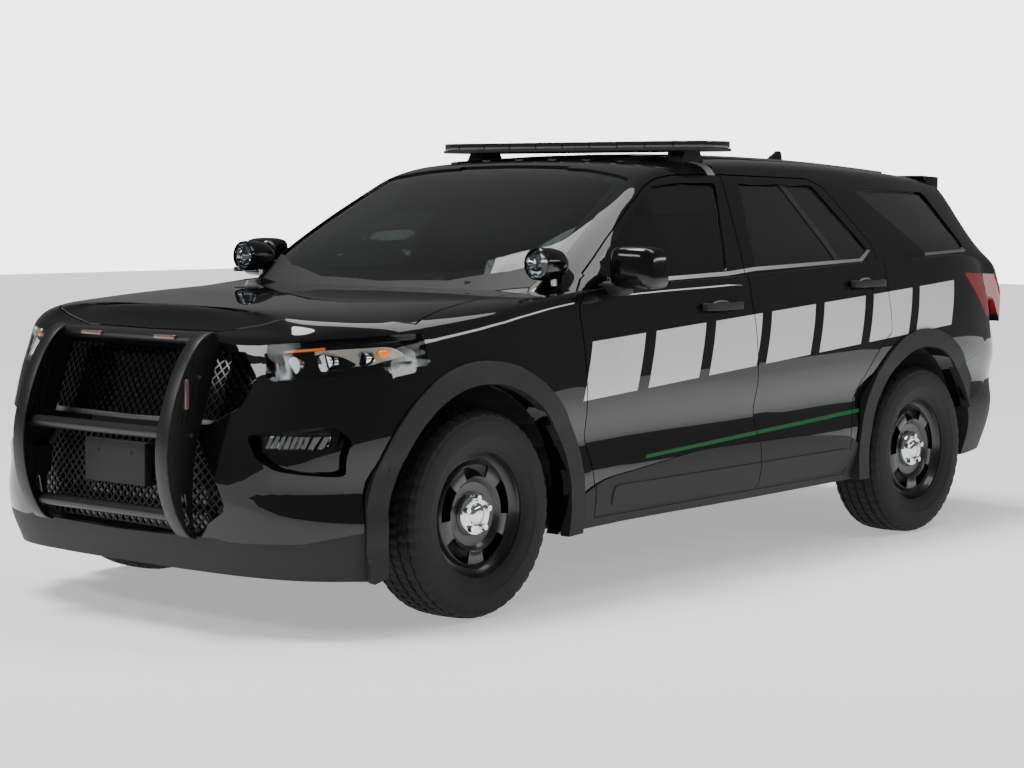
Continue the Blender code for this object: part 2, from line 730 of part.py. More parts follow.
outer = even_solid("outer", 0)
trim_body = even_solid("trim_body", -ARCH_TRIM_THICKNESS, HIGH_Z / 8)
trim_low_line = [(y, z + ARCH_TRIM_LIFT) for y, z in side_outline(BOTTOM_SHARES)]
trim_line = trim_low_line + [(FAR_REAR, HIGH_Z), (FAR_FRONT, HIGH_Z)]
for axle_y in (0, WHEELBASE):
    for side in (-1, 1):
        disc = cylinder("trim", (side * SIDE_CUT_X, axle_y, AXLE_Z), (side * FAR_X, axle_y, AXLE_Z),
                        ARCH_TRIM_RADIUS, ARCH_SIDES)
        common(disc, trim_body, True)
        common(disc, prism("upper", trim_line, "X", -FAR_X, FAR_X))
        join(outer, disc)
drop(trim_body)
inner = body_solid("inner", SIDE_WALL, PILLAR_WALL, END_WALL, ROOF_WALL, HIGH_Z / 4, 2)
inner_fit = body_solid("inner_fit", SIDE_WALL + TOUCH, PILLAR_WALL + TOUCH, END_WALL + TOUCH,
                       ROOF_WALL + TOUCH, HIGH_Z / 4, 2)
outer_fit = even_solid("outer_fit", -TOUCH)
outer_clear = even_solid("outer_clear", -SHUT_GAP - TOUCH)
skin_back = even_solid("skin_back", SKIN, HIGH_Z / 4)
box_face = even_solid("box_face", SKIN - BOX_CLEARANCE, HIGH_Z / 8)
pocket_floor = even_solid("pocket_floor", SKIN + SHUT_GAP, HIGH_Z / 4)
glass_face = even_solid("glass_face", GLASS_DEPTH, HIGH_Z / 8)
glass_back = even_solid("glass_back", GLASS_DEPTH + GLASS_THICKNESS, HIGH_Z / 4)
recess_floor = even_solid("recess_floor", RECESS_DEPTH, HIGH_Z / 4)

shell = cut(copy_of(outer), inner, True)
skin = cut(copy_of(outer), skin_back, True)
thick = cut(copy_of(box_face), inner, True)
glass = cut(copy_of(glass_face), glass_back, True)
for axle_y in (0, WHEELBASE):
    arch = cylinder("arch", (-FAR_X, axle_y, AXLE_Z), (FAR_X, axle_y, AXLE_Z), ARCH_RADIUS, ARCH_SIDES)
    cut(shell, arch, True)
    cut(skin, arch, True)
    cut(thick, arch)


def side_prism(points, low_x=SIDE_CUT_X):
    return prism("side", points, "X", low_x, FAR_X)


def front_prism(points, low_y, high_y):
    return prism("front", points, "Y", low_y, high_y)


def plan_prism(points):
    return prism("plan", points, "Z", LOW_Z, HIGH_Z)


# Outlines of the openings
front_door_line = side_outline(FRONT_SHUT_SHARES + PILLAR_SHUT_SHARES)
rear_arch_line = arc(REAR_AXLE, REAR_SHUT_RADIUS, *REAR_SHUT_ARC, REAR_SHUT_STEPS)
rear_door_line = (side_outline(tuple(reversed(PILLAR_SHUT_SHARES)) + REAR_SHUT_SHARES)
                  + rear_arch_line + side_outline(REAR_SHUT_FOOT_SHARES))
door_lines = {"front": front_door_line, "rear": rear_door_line}
window_lines = {"front": side_outline(FRONT_WINDOW_SHARES), "rear": side_outline(REAR_WINDOW_SHARES)}
quarter_line = side_outline(QUARTER_WINDOW_SHARES)
hood_line = both_sides(plan_outline(HOOD_SHARES + HOOD_REAR_SHARES[1:]))
screen_line = both_sides(plan_outline(SCREEN_FOOT_SHARES + SCREEN_HEAD_SHARES))
cowl_line = both_sides(plan_outline(tuple(reversed(HOOD_REAR_SHARES)) + tuple(reversed(SCREEN_FOOT_SHARES))))
roof_line = both_sides(plan_outline(ROOF_PANEL_SHARES))
tailgate_line = both_sides(front_outline(TAILGATE_SHARES))
tailgate_glass_line = both_sides(front_outline(TAILGATE_GLASS_SHARES))
grille_line = both_sides(front_outline(GRILLE_SHARES))
lower_grille_line = both_sides(front_outline(LOWER_GRILLE_SHARES))
headlamp_line = front_outline(HEADLAMP_SHARES)
fog_line = front_outline(FOG_SHARES)
bumper_line = side_outline(BUMPER_SIDE_SHARES)
fender_line = side_outline(FENDER_SIDE_SHARES)
rear_bumper_line = side_outline(REAR_BUMPER_SIDE_SHARES)
tail_lamp_line = side_outline(TAIL_LAMP_SHARES)
headlamp_rear = along(HEADLAMP_REAR_SHARE)
tailgate_front = along(TAILGATE_FRONT_SHARE)
door_gap = SHUT_GAP / 2


def headlamp_block(extra):
    return front_prism(grown(headlamp_line, extra), FAR_FRONT, headlamp_rear + extra)


def tailgate_block(extra):
    block = front_prism(grown(tailgate_line, extra), tailgate_front - OVERRUN, FAR_REAR)
    reach = grown(side_outline(TAILGATE_REACH_SHARES), extra)
    return common(block, prism("reach", reach, "X", -FAR_X, FAR_X))


# Hood
hood = common(copy_of(shell), plan_prism(grown(hood_line, -door_gap)))
low_cut = upward(LOW_CUT_SHARE)
hood_low_line = [(y, z - HOOD_LIP) for y, z in side_outline(SHOULDER_SHARES)]
cut(hood, prism("low", hood_low_line + [(FAR_REAR, LOW_Z), (FAR_FRONT, LOW_Z)], "X", -FAR_X, FAR_X))
largest_body(hood)
HOOD_AXIS_Y = along(HOOD_AXIS_SHARE)
HOOD_AXIS_Z = edge_height(CROWN_SHARES, HOOD_AXIS_Y)
hood_joint = joint_empty("hood_joint", (0, HOOD_AXIS_Y, HOOD_AXIS_Z))
finish(hood, "hood", "paint", hood_joint)

# Cowl, windscreen and roof
cowl = common(copy_of(shell), plan_prism(grown(cowl_line, -door_gap)))
cut(cowl, box("low", (-FAR_X, FAR_FRONT, LOW_Z), (FAR_X, FAR_REAR, low_cut)))
finish(largest_body(cowl), "cowl_panel", "trim")
windscreen = common(copy_of(glass), plan_prism(grown(screen_line, -TOUCH)))
cut(windscreen, box("low", (-FAR_X, FAR_FRONT, LOW_Z), (FAR_X, FAR_REAR, low_cut)))
finish(largest_body(windscreen), "windscreen", "glass")
roof = common(copy_of(shell), plan_prism(grown(roof_line, -TOUCH / 2)))
cut(roof, box("low", (-FAR_X, FAR_FRONT, LOW_Z), (FAR_X, FAR_REAR, low_cut)))
roof_end = along(ROOF_PANEL_SHARES[-1][1])
for side in (-1, 1):
    tab = box("tab", (side * ROOF_TAB_X - HOOD_STOP_SIZE / 2, roof_end - HOOD_STOP_SIZE, low_cut),
              (side * ROOF_TAB_X + HOOD_STOP_SIZE / 2, tailgate_front + door_gap - TOUCH, HIGH_Z))
    join(roof, common(tab, shell, True))
finish(largest_body(roof), "roof_panel", "paint")

# Front bumper with its openings
bumper = common(copy_of(shell), prism("bumper", grown(bumper_line, -TOUCH / 2), "X", -FAR_X, FAR_X))
cut(bumper, plan_prism(grown(hood_line, door_gap)))
for lamp in (headlamp_block(TOUCH), mirrored(headlamp_block(TOUCH))):
    cut(bumper, lamp)
cut(bumper, front_prism(grille_line, FAR_FRONT, 0))
recess = cut(front_prism(lower_grille_line, FAR_FRONT, 0), recess_floor, True)
cut(bumper, recess)
fog = cut(front_prism(fog_line, FAR_FRONT, 0), recess_floor, True)
cut(bumper, mirrored(fog))
cut(bumper, fog)
finish(largest_body(bumper), "front_bumper", "paint")

# Headlamps
headlamp = common(copy_of(shell), headlamp_block(0))
cut(headlamp, plan_prism(grown(hood_line, door_gap)))
largest_body(headlamp)
finish(mirrored(headlamp), "headlamp_right", "lamp")
finish(headlamp, "headlamp_left", "lamp")

# Front fenders
fender = common(copy_of(shell), side_prism(grown(fender_line, -TOUCH / 2)))
cut(fender, side_prism(grown(front_door_line, door_gap)))
cut(fender, plan_prism(grown(hood_line, door_gap)))
cut(fender, plan_prism(grown(cowl_line, 0)))
cut(fender, headlamp_block(TOUCH))
largest_body(fender)
finish(mirrored(fender), "front_fender_right", "paint")
finish(fender, "front_fender_left", "paint")

# Rear bumper and tail lamps
rear_bumper = prism("bumper", grown(rear_bumper_line, -TOUCH / 2), "X", -FAR_X, FAR_X)
rear_bumper = common(copy_of(shell), rear_bumper)
cut(rear_bumper, tailgate_block(door_gap))
finish(largest_body(rear_bumper), "rear_bumper", "cladding")
LAMP_INNER_X = across(LAMP_INNER_SHARE) + SHUT_GAP
tail_lamp = common(copy_of(shell), side_prism(tail_lamp_line, LAMP_INNER_X))
cut(tail_lamp, tailgate_block(door_gap))
largest_body(tail_lamp)
finish(mirrored(tail_lamp), "tail_lamp_right", "tail_lamp")
finish(tail_lamp, "tail_lamp_left", "tail_lamp")

# Body sides: pillars, rails, sills and quarter panels in one piece
body_side = common(copy_of(shell), box("half", (SIDE_CUT_X, along(0.0), LOW_Z), (FAR_X, FAR_REAR, HIGH_Z)))
cut(body_side, side_prism(grown(fender_line, TOUCH / 2)))
for line in (hood_line, cowl_line):
    cut(body_side, plan_prism(grown(line, TOUCH)))
cut(body_side, plan_prism(screen_line))
cut(body_side, plan_prism(grown(roof_line, TOUCH / 2)))
cut(body_side, tailgate_block(door_gap))
cut(body_side, prism("bumper", grown(rear_bumper_line, TOUCH / 2), "X", SIDE_CUT_X, FAR_X))
cut(body_side, side_prism(grown(tail_lamp_line, TOUCH), LAMP_INNER_X - TOUCH))
cut(body_side, side_prism(grown(quarter_line, TOUCH)))
corner_line = plan_outline(DOOR_CORNER_SHARES)
for place, line in door_lines.items():
    pocket = cut(side_prism(grown(line, door_gap)), pocket_floor, True)
    opening = side_prism(grown(line, -FLANGE_WIDTH))
    for hole in (pocket, opening):
        if place == "front":
            cut(hole, plan_prism(grown(corner_line, -door_gap)))
        cut(body_side, hole)
    start = along(DOOR_AXIS_SHARES[place])
    for share in HINGE_SHARES:
        leaf = box("hinge", (HINGE_INNER_X, start + FLANGE_WIDTH / 2, upward(share)),
                   (HINGE_OUTER_X, start + 3 * FLANGE_WIDTH, upward(share) + HINGE_HEIGHT))
        cut(leaf, side_prism(grown(line, TOUCH - FLANGE_WIDTH - BOX_CLEARANCE)))
        join(body_side, leaf)
largest_body(body_side)
finish(mirrored(body_side), "body_side_right", "paint")
finish(body_side, "body_side_left", "paint")
quarter = common(copy_of(glass), side_prism(quarter_line))
largest_body(quarter)
finish(mirrored(quarter), "quarter_glass_right", "glass")
finish(quarter, "quarter_glass_left", "glass")

# Doors with their glass
DOOR_AXIS_X = HALF_WIDTH + TOUCH
belt_line = side_outline(BELT_LINE_SHARES)
handle_face = even_solid("handle_face", -HANDLE_REACH)
handle_root = even_solid("handle_root", HANDLE_SINK)
for place, line in door_lines.items():
    door = common(copy_of(skin), side_prism(grown(line, -door_gap)))
    for pillar_line in (screen_line, cowl_line):
        cut(door, plan_prism(grown(pillar_line, PILLAR_FACE)))
    largest_body(door)
    block = common(side_prism(grown(line, -FLANGE_WIDTH - BOX_CLEARANCE)), side_prism(belt_line, 0))
    common(block, thick, True)
    join(door, block)
    if place == "front":
        cut(door, plan_prism(grown(corner_line, door_gap)))
    cut(door, side_prism(window_lines[place]))
    handle_y, handle_z = side_outline([HANDLE_SHARES[place]])[0]
    handle = box("handle", (SIDE_CUT_X, handle_y - HANDLE_HALF_LENGTH, handle_z - HANDLE_HALF_HEIGHT),
                 (FAR_X, handle_y + HANDLE_HALF_LENGTH, handle_z + HANDLE_HALF_HEIGHT))
    common(handle, handle_face, True)
    join(door, cut(handle, handle_root, True))
    largest_body(door)
    pane = common(copy_of(glass), side_prism(grown(window_lines[place], -TOUCH)))
    largest_body(pane)
    for side, hand in ((1, "left"), (-1, "right")):
        axis = joint_empty(place + "_door_" + hand + "_joint",
                           (side * DOOR_AXIS_X, along(DOOR_AXIS_SHARES[place]), upward(LOW_CUT_SHARE)))
        finish(copy_of(door) if side > 0 else mirrored(door), place + "_door_" + hand, "paint", axis)
        finish(copy_of(pane) if side > 0 else mirrored(pane), place + "_door_glass_" + hand, "glass", axis)
    drop(door, pane)

# Tailgate
tailgate_bevel_top = upward(TAILGATE_SHARES[2][1]) + TAILGATE_BEVEL
# The lid's top corners are narrower than its opening, so that its wider middle swings past them
lid_line = []
for x, z in tailgate_line:
    relief = math.copysign(TAILGATE_RELIEF, x) if x and z >= upward(TAILGATE_SHARES[2][1]) else 0
    lid_line.append((x - relief, z))
tailgate = common(copy_of(shell), tailgate_block(-door_gap))
common(tailgate, front_prism(grown(lid_line, -door_gap), tailgate_front - OVERRUN, FAR_REAR))
cut(tailgate, front_prism(tailgate_glass_line, tailgate_front, FAR_REAR))
bevel = cut(common(tailgate_block(door_gap), box_face, True),
            front_prism(grown(tailgate_line, -TAILGATE_BEVEL), tailgate_front - OVERRUN, FAR_REAR))
cut(tailgate, cut(bevel, box("above", (-FAR_X, 0, tailgate_bevel_top), (FAR_X, FAR_REAR, HIGH_Z))))
largest_body(tailgate)
TAILGATE_AXIS_Y = tailgate_front
TAILGATE_AXIS_Z = upward(TAILGATE_AXIS_SHARE)
tailgate_joint = joint_empty("tailgate_joint", (0, TAILGATE_AXIS_Y, TAILGATE_AXIS_Z))
finish(tailgate, "tailgate", "paint", tailgate_joint)
pane = common(copy_of(glass), front_prism(grown(tailgate_glass_line, -TOUCH), tailgate_front, FAR_REAR))
finish(largest_body(pane), "tailgate_glass", "glass", tailgate_joint)

# Grille: a frame with a lattice of diamonds, standing in its opening and leaning back


def inside(points, place):
    result = False
    x, y = place
    for (ax, ay), (bx, by) in zip(points, points[1:] + points[:1]):
        if (ay > y) != (by > y) and x < (bx - ax) * (y - ay) / (by - ay) + ax:
            result = not result
    return result


def prisms(name, outlines, axis, low, high):
    shape = bmesh.new()
    for outline in outlines:
        single = prism(name, outline, axis, low, high)
        shape.from_mesh(single.data)
        drop(single)
    return mesh_object(name, shape)


frame_line = grown(grille_line, -GRILLE_BORDER - TOUCH)
grille_low = min(z for x, z in grille_line)
grille_high = max(z for x, z in grille_line)
diamonds = []
diamond_half = (DIAMOND_PITCH - GRILLE_BAR) / 2
rows = int((grille_high - grille_low) / DIAMOND_PITCH * 2) + 1
columns = int(max(x for x, z in grille_line) / DIAMOND_PITCH * 2) + 1
for row in range(rows):
    for column in range(-columns, columns + 1):
        if (row + column) % 2:
            continue
        x = column * DIAMOND_PITCH / 2
        z = grille_low + row * DIAMOND_PITCH / 2
        corners = [(x - diamond_half, z), (x, z + diamond_half),
                   (x + diamond_half, z), (x, z - diamond_half)]
        if all(inside(frame_line, corner) for corner in corners):
            diamonds.append(corners)
grille_y = along(GRILLE_PLACE_SHARE)
grille_turn = math.atan2(across(GRILLE_LEAN_SHARE), grille_high - grille_low)
middle_z = (grille_low + grille_high) / 2
wide_line = grown(grille_line, OVERRUN)
grille = prism("grille", wide_line, "Y", grille_y - GRILLE_THICKNESS / 2, grille_y + GRILLE_THICKNESS / 2)
cut(grille, prisms("diamonds", diamonds, "Y", grille_y - GRILLE_THICKNESS, grille_y + GRILLE_THICKNESS))
grille.data.transform(Matrix.Translation((0, grille_y, middle_z)) @ Matrix.Rotation(-grille_turn, 4, "X")
                      @ Matrix.Translation((0, -grille_y, -middle_z)))
common(grille, front_prism(grown(grille_line, -TOUCH), FAR_FRONT, 0))
cut(grille, plan_prism(grown(hood_line, door_gap)))
finish(largest_body(grille), "grille", "trim")

# Floor with the rear wheel houses


def held_back(points, low_y, low_z):
    return [(max(y, low_y), max(z, low_z)) for y, z in points]


cabin_front = FIREWALL_Y + TOUCH / 2
floor = prism("floor", held_back(side_outline(FLOOR_SHARES), cabin_front, 0), "X", -FAR_X, FAR_X)
floor_top = upward(FLOOR_SHARES[-1][1])
floor_bottom = upward(FLOOR_SHARES[0][1])
rear_floor_bottom = upward(FLOOR_SHARES[3][1])
for side in (-1, 1):
    house = cylinder("house", (side * (REAR_WELL_INNER_X - WELL_SHEET), WHEELBASE, AXLE_Z),
                     (side * FAR_X, WHEELBASE, AXLE_Z), ARCH_RADIUS + WELL_SHEET, ARCH_SIDES)
    cut(house, box("under", (-FAR_X - OVERRUN, 0, LOW_Z - HIGH_Z),
                   (FAR_X + OVERRUN, FAR_REAR, rear_floor_bottom + TOUCH)))
    join(floor, house)
common(floor, inner_fit, True)
for side in (-1, 1):
    cut(floor, cylinder("well", (side * REAR_WELL_INNER_X, WHEELBASE, AXLE_Z),
                        (side * (FAR_X + OVERRUN), WHEELBASE, AXLE_Z), ARCH_RADIUS, ARCH_SIDES))
finish(largest_body(floor), "floor_pan", "trim")

# Engine bay: firewall, aprons and radiator support as one ring, with the front wheel houses
bay = box("bay", (-BAY_HALF_WIDTH, BAY_FRONT_Y, BAY_BOTTOM), (BAY_HALF_WIDTH, FIREWALL_Y, BAY_TOP))
for side in (-1, 1):
    house = cylinder("house", (side * (WELL_INNER_X - WELL_SHEET), 0, AXLE_Z), (side * FAR_X, 0, AXLE_Z),
                     ARCH_RADIUS + WELL_SHEET, ARCH_SIDES)
    cut(house, box("under", (-FAR_X - OVERRUN, FAR_FRONT, LOW_Z - HIGH_Z),
                   (FAR_X + OVERRUN, FIREWALL_Y + OVERRUN, BAY_BOTTOM + TOUCH)))
    cut(house, box("rear", (-FAR_X - OVERRUN, FIREWALL_Y - TOUCH, LOW_Z),
                   (FAR_X + OVERRUN, FAR_REAR, HIGH_Z)))
    join(bay, house)
    stop_x = side * HOOD_STOP_X
    join(bay, box("stop", (stop_x - HOOD_STOP_SIZE / 2, FIREWALL_Y - FIREWALL_WALL, low_cut - OVERRUN),
                  (stop_x + HOOD_STOP_SIZE / 2, FIREWALL_Y - TOUCH, HIGH_Z)))
dash_wall = box("wall", (-DASH_HALF_WIDTH, FIREWALL_Y - FIREWALL_WALL + TOUCH, BAY_BOTTOM + TOUCH),
                (DASH_HALF_WIDTH, FIREWALL_Y - TOUCH / 2, BAY_TOP - TOUCH))
join(bay, dash_wall)
common(bay, inner_fit, True)
cut(bay, box("room", (-BAY_HALF_WIDTH + BAY_WALL, BAY_FRONT_Y + BAY_WALL, LOW_Z),
             (BAY_HALF_WIDTH - BAY_WALL, FIREWALL_Y - FIREWALL_WALL, HIGH_Z)))
for side in (-1, 1):
    cut(bay, cylinder("well", (side * WELL_INNER_X, 0, AXLE_Z), (side * (FAR_X + OVERRUN), 0, AXLE_Z),
                      ARCH_RADIUS, ARCH_SIDES))
finish(largest_body(bay), "engine_bay", "trim")

# Front subframe with the lower arms, and the engine on it
subframe_top = BAY_BOTTOM - TOUCH
subframe = box("subframe", (-BAY_HALF_WIDTH, -SUBFRAME_HALF_LENGTH, SUBFRAME_BOTTOM),
               (BAY_HALF_WIDTH, SUBFRAME_HALF_LENGTH, subframe_top))
for side in (-1, 1):
    root_x = side * (BAY_HALF_WIDTH - OVERRUN)
    arm = prism("arm", [(root_x, -ARM_ROOT_HALF), (side * ARM_TIP_X, -ARM_TIP_HALF),
                        (side * ARM_TIP_X, ARM_TIP_HALF), (root_x, ARM_ROOT_HALF)], "Z", ARM_BOTTOM, ARM_TOP)
    join(subframe, arm)
finish(subframe, "front_subframe", "steel")
engine = box("engine", (-ENGINE_HALF_WIDTH, ENGINE_Y - ENGINE_HALF_LENGTH, subframe_top + TOUCH),
             (ENGINE_HALF_WIDTH, ENGINE_Y + ENGINE_HALF_LENGTH, ENGINE_TOP))
finish(engine, "engine_block", "bare_metal")
tank = box("tank", (-TANK_HALF_WIDTH, along(TANK_SHARES[0]), TANK_BOTTOM),
           (TANK_HALF_WIDTH, along(TANK_SHARES[1]), floor_bottom - TOUCH))
finish(tank, "fuel_tank", "trim")

# Knuckles with their struts, and the rear axle
hub_back_x = HALF_TRACK + HUB_BACK


def upright(side, y, bottom):
    inner_side = UPRIGHT_INNER_X if side > 0 else -UPRIGHT_OUTER_X
    body = box("upright", (inner_side, y - UPRIGHT_HALF, bottom),
               (side * UPRIGHT_OUTER_X if side > 0 else -UPRIGHT_INNER_X, y + UPRIGHT_HALF, UPRIGHT_TOP))
    spindle = cylinder("spindle", (side * (UPRIGHT_INNER_X + TOUCH), y, AXLE_Z),
                       (side * (hub_back_x - TOUCH), y, AXLE_Z), SPINDLE_RADIUS, 24)
    return join(body, spindle)


steer_joints = {}
for side, hand in ((1, "left"), (-1, "right")):
    knuckle = upright(side, 0, ARM_TOP + TOUCH)
    reach = (side * STRUT_X, side * (UPRIGHT_INNER_X + TOUCH))
    bracket = box("bracket", (min(reach), -STRUT_RADIUS / 2, STRUT_FOOT),
                  (max(reach), STRUT_RADIUS / 2, UPRIGHT_TOP - TOUCH))
    join(knuckle, bracket)
    join(knuckle, cylinder("strut", (side * STRUT_X, 0, STRUT_FOOT - TOUCH), (side * STRUT_X, 0, STRUT_TOP),
                           STRUT_RADIUS, 16))
    join(knuckle, cylinder("spring", (side * STRUT_X, 0, UPRIGHT_TOP + OVERRUN),
                           (side * STRUT_X, 0, STRUT_TOP - TOUCH), SPRING_RADIUS, 16))
    steer = joint_empty("steer_" + hand, (side * STEER_X, 0, AXLE_Z))
    steer_joints[side] = steer
    finish(knuckle, "knuckle_" + hand, "bare_metal", steer)
rear_axle = box("beam", (-REAR_BEAM_HALF_WIDTH, WHEELBASE - REAR_BEAM_HALF_LENGTH, REAR_BEAM_BOTTOM),
                (REAR_BEAM_HALF_WIDTH, WHEELBASE + REAR_BEAM_HALF_LENGTH, REAR_BEAM_TOP))
for side in (-1, 1):
    arm = box("arm", (min(side * (REAR_BEAM_HALF_WIDTH - OVERRUN), side * (UPRIGHT_INNER_X + TOUCH)),
                      WHEELBASE - UPRIGHT_HALF + TOUCH, REAR_BEAM_BOTTOM + TOUCH),
              (max(side * (REAR_BEAM_HALF_WIDTH - OVERRUN), side * (UPRIGHT_INNER_X + TOUCH)),
               WHEELBASE + UPRIGHT_HALF - TOUCH, REAR_BEAM_TOP - TOUCH))
    join(rear_axle, arm)
    join(rear_axle, upright(side, WHEELBASE, ARM_TOP))
    for y in (WHEELBASE - REAR_BEAM_HALF_LENGTH / 2, WHEELBASE + REAR_BEAM_HALF_LENGTH / 2):
        join(rear_axle, cylinder("mount", (side * REAR_MOUNT_X, y, REAR_BEAM_BOTTOM + TOUCH),
                                 (side * REAR_MOUNT_X, y, rear_floor_bottom - TOUCH), REAR_MOUNT_RADIUS, 16))
finish(rear_axle, "rear_axle", "steel")


# Wheels
def turned(name, profile, steps):
    shape = bmesh.new()
    corners = [shape.verts.new((radius, 0, offset)) for radius, offset in profile]
    for first, second in zip(corners, corners[1:] + corners[:1]):
        shape.edges.new((first, second))
    mesh = bpy.data.meshes.new(name)
    shape.to_mesh(mesh)
    shape.free()
    holder = bpy.data.objects.new(name, mesh)
    WORK.objects.link(holder)
    screw = holder.modifiers.new("turn", "SCREW")
    screw.steps = steps
    screw.render_steps = steps
    screw.use_merge_vertices = True
    screw.merge_threshold = 0.0001
    evaluated = holder.evaluated_get(bpy.context.evaluated_depsgraph_get())
    result = bpy.data.meshes.new_from_object(evaluated)
    drop(holder)
    solid = bmesh.new()
    solid.from_mesh(result)
    bmesh.ops.remove_doubles(solid, verts=solid.verts, dist=0.0001)
    solid.transform(Matrix.Rotation(math.radians(90), 4, "Y"))
    return mesh_object(name, solid)


tyre_half = [(radius * TYRE_RADIUS, offset * TYRE_WIDTH / 2) for radius, offset in TYRE_SHARES]
tyre_half = [(BEAD_RADIUS, BEAD_HALF_WIDTH), (FLANGE_RADIUS + FLANGE_CLEARANCE, BEAD_HALF_WIDTH)] + tyre_half
tyre_profile = tyre_half + [(radius, -offset) for radius, offset in reversed(tyre_half)]
seat_radius = BEAD_RADIUS - TOUCH
barrel_inside = seat_radius - BARREL_THICKNESS
lip_inside = BEAD_HALF_WIDTH + TOUCH
rim_profile = [(seat_radius, lip_inside), (FLANGE_RADIUS, lip_inside), (FLANGE_RADIUS, FLANGE_OUTSIDE),
               (seat_radius, FLANGE_OUTSIDE)]
rim_profile += [(radius * RIM_RADIUS, offset * BEAD_HALF_WIDTH) for radius, offset in FACE_SHARES]
rim_profile += [(0, HUB_BACK), (HUB_RADIUS, HUB_BACK)]
rim_profile += [(radius * RIM_RADIUS, offset * BEAD_HALF_WIDTH) for radius, offset in BACK_SHARES]
rim_profile += [(barrel_inside, BACK_SHARES[-1][1] * BEAD_HALF_WIDTH), (barrel_inside, -FLANGE_OUTSIDE),
                (FLANGE_RADIUS, -FLANGE_OUTSIDE), (FLANGE_RADIUS, -lip_inside), (seat_radius, -lip_inside)]
tyre = turned("tyre", tyre_profile, WHEEL_STEPS)
rim = turned("rim", rim_profile, WHEEL_STEPS)
for hole in range(RIM_HOLES):
    turn = 360 * hole / RIM_HOLES
    inside_arc = arc((0, 0), RIM_HOLE_RADIUS - RIM_HOLE_DEPTH / 2, turn - RIM_HOLE_SPREAD / 2,
                     turn + RIM_HOLE_SPREAD / 2, 3)
    outside_arc = arc((0, 0), RIM_HOLE_RADIUS + RIM_HOLE_DEPTH / 2, turn + RIM_HOLE_SPREAD / 2,
                      turn - RIM_HOLE_SPREAD / 2, 3)
    cut(rim, prism("hole", inside_arc + outside_arc, "X", 0, HOLE_REACH))
wheel_places = (("front_left", 1, 0), ("front_right", -1, 0), ("rear_left", 1, WHEELBASE),
                ("rear_right", -1, WHEELBASE))
for name, side, y in wheel_places:
    holder = ORIGIN if y else steer_joints[side]
    hub = joint_empty("wheel_" + name + "_joint", (side * HALF_TRACK, y, AXLE_Z), holder)
    for piece, label, material in ((tyre, "tyre_", "rubber"), (rim, "rim_", "steel")):
        part = copy_of(piece) if side > 0 else mirrored(piece)
        part.data.transform(Matrix.Translation((side * HALF_TRACK, y, AXLE_Z)))
        finish(part, label + name, material, hub)
drop(tyre, rim)

# Cabin
seat_z = floor_top + TOUCH
dash_line = held_back(side_outline(DASH_SHARES), cabin_front, 0)
dash = prism("dash", dash_line, "X", -DASH_HALF_WIDTH, DASH_HALF_WIDTH)
finish(dash, "dashboard", "trim")
for side, hand in ((1, "left"), (-1, "right")):
    seat_line = held_back(side_outline(SEAT_SHARES), 0, seat_z)
    seat = prism("seat", seat_line, "X", side * SEAT_X - SEAT_HALF_WIDTH, side * SEAT_X + SEAT_HALF_WIDTH)
    finish(seat, "front_seat_" + hand, "fabric")
bench = prism("bench", held_back(side_outline(BENCH_SHARES), 0, seat_z), "X", -BENCH_HALF_WIDTH,
              BENCH_HALF_WIDTH)
finish(bench, "rear_bench", "fabric")
steering_y = along(STEERING_SHARES[0])
steering_z = upward(STEERING_SHARES[1])
ring_end = 360 * RING_TUBE_STEPS / (RING_TUBE_STEPS + 1)
steering_profile = arc((WHEEL_RING_RADIUS, 0), WHEEL_RING_TUBE, 0, ring_end, RING_TUBE_STEPS)
steering = turned("ring", steering_profile, RING_STEPS)
steering.data.transform(Matrix.Rotation(math.radians(90), 4, "Z"))
spoke = box("spoke", (-WHEEL_RING_RADIUS, -WHEEL_RING_TUBE / 2, -COLUMN_RADIUS / 2),
            (WHEEL_RING_RADIUS, WHEEL_RING_TUBE / 2, COLUMN_RADIUS / 2))
join(steering, spoke)
join(steering, cylinder("hub", (0, -WHEEL_RING_TUBE, 0), (0, WHEEL_RING_TUBE, 0), STEERING_HUB_RADIUS, 20))
join(steering, cylinder("column", (0, -WHEEL_RING_RADIUS, 0), (0, 0, 0), COLUMN_RADIUS, 16))
steering.data.transform(Matrix.Translation((SEAT_X, steering_y, steering_z))
                        @ Matrix.Rotation(math.radians(STEERING_TILT), 4, "X"))
cut(steering, prism("dash", grown(dash_line, TOUCH), "X", -DASH_HALF_WIDTH, DASH_HALF_WIDTH))
finish(largest_body(steering), "steering_wheel", "trim")


# Door mirrors, spotlights and light bar
def soft_block(name, centre, half_size):
    shape = bmesh.new()
    bmesh.ops.create_cube(shape, size=1)
    bmesh.ops.scale(shape, verts=shape.verts, vec=Vector(half_size) * 2)
    bmesh.ops.translate(shape, verts=shape.verts, vec=centre)
    holder = mesh_object(name, shape)
    soften = holder.modifiers.new("soften", "BEVEL")
    soften.width = min(half_size) * SOFT_SHARE
    soften.segments = 3
    evaluated = holder.evaluated_get(bpy.context.evaluated_depsgraph_get())
    holder.data = bpy.data.meshes.new_from_object(evaluated)
    holder.modifiers.remove(soften)
    return holder


def placed(shares):
    x, y, z = shares
    return Vector((across(x), along(y), upward(z)))


mirror_centre = placed(MIRROR_SHARES)
mirror = soft_block("mirror", mirror_centre, MIRROR_HALF_SIZE)
arm_end = mirror_centre - Vector((MIRROR_HALF_SIZE[0], 0, MIRROR_HALF_SIZE[2])) / 2
join(mirror, cylinder("arm", placed(MIRROR_ARM_SHARES), arm_end, MIRROR_ARM_RADIUS, 12))
cut(mirror, outer_fit, True)
largest_body(mirror)
finish(mirrored(mirror), "mirror_right", "cladding", bpy.data.objects["front_door_right_joint"])
finish(mirror, "mirror_left", "cladding", bpy.data.objects["front_door_left_joint"])

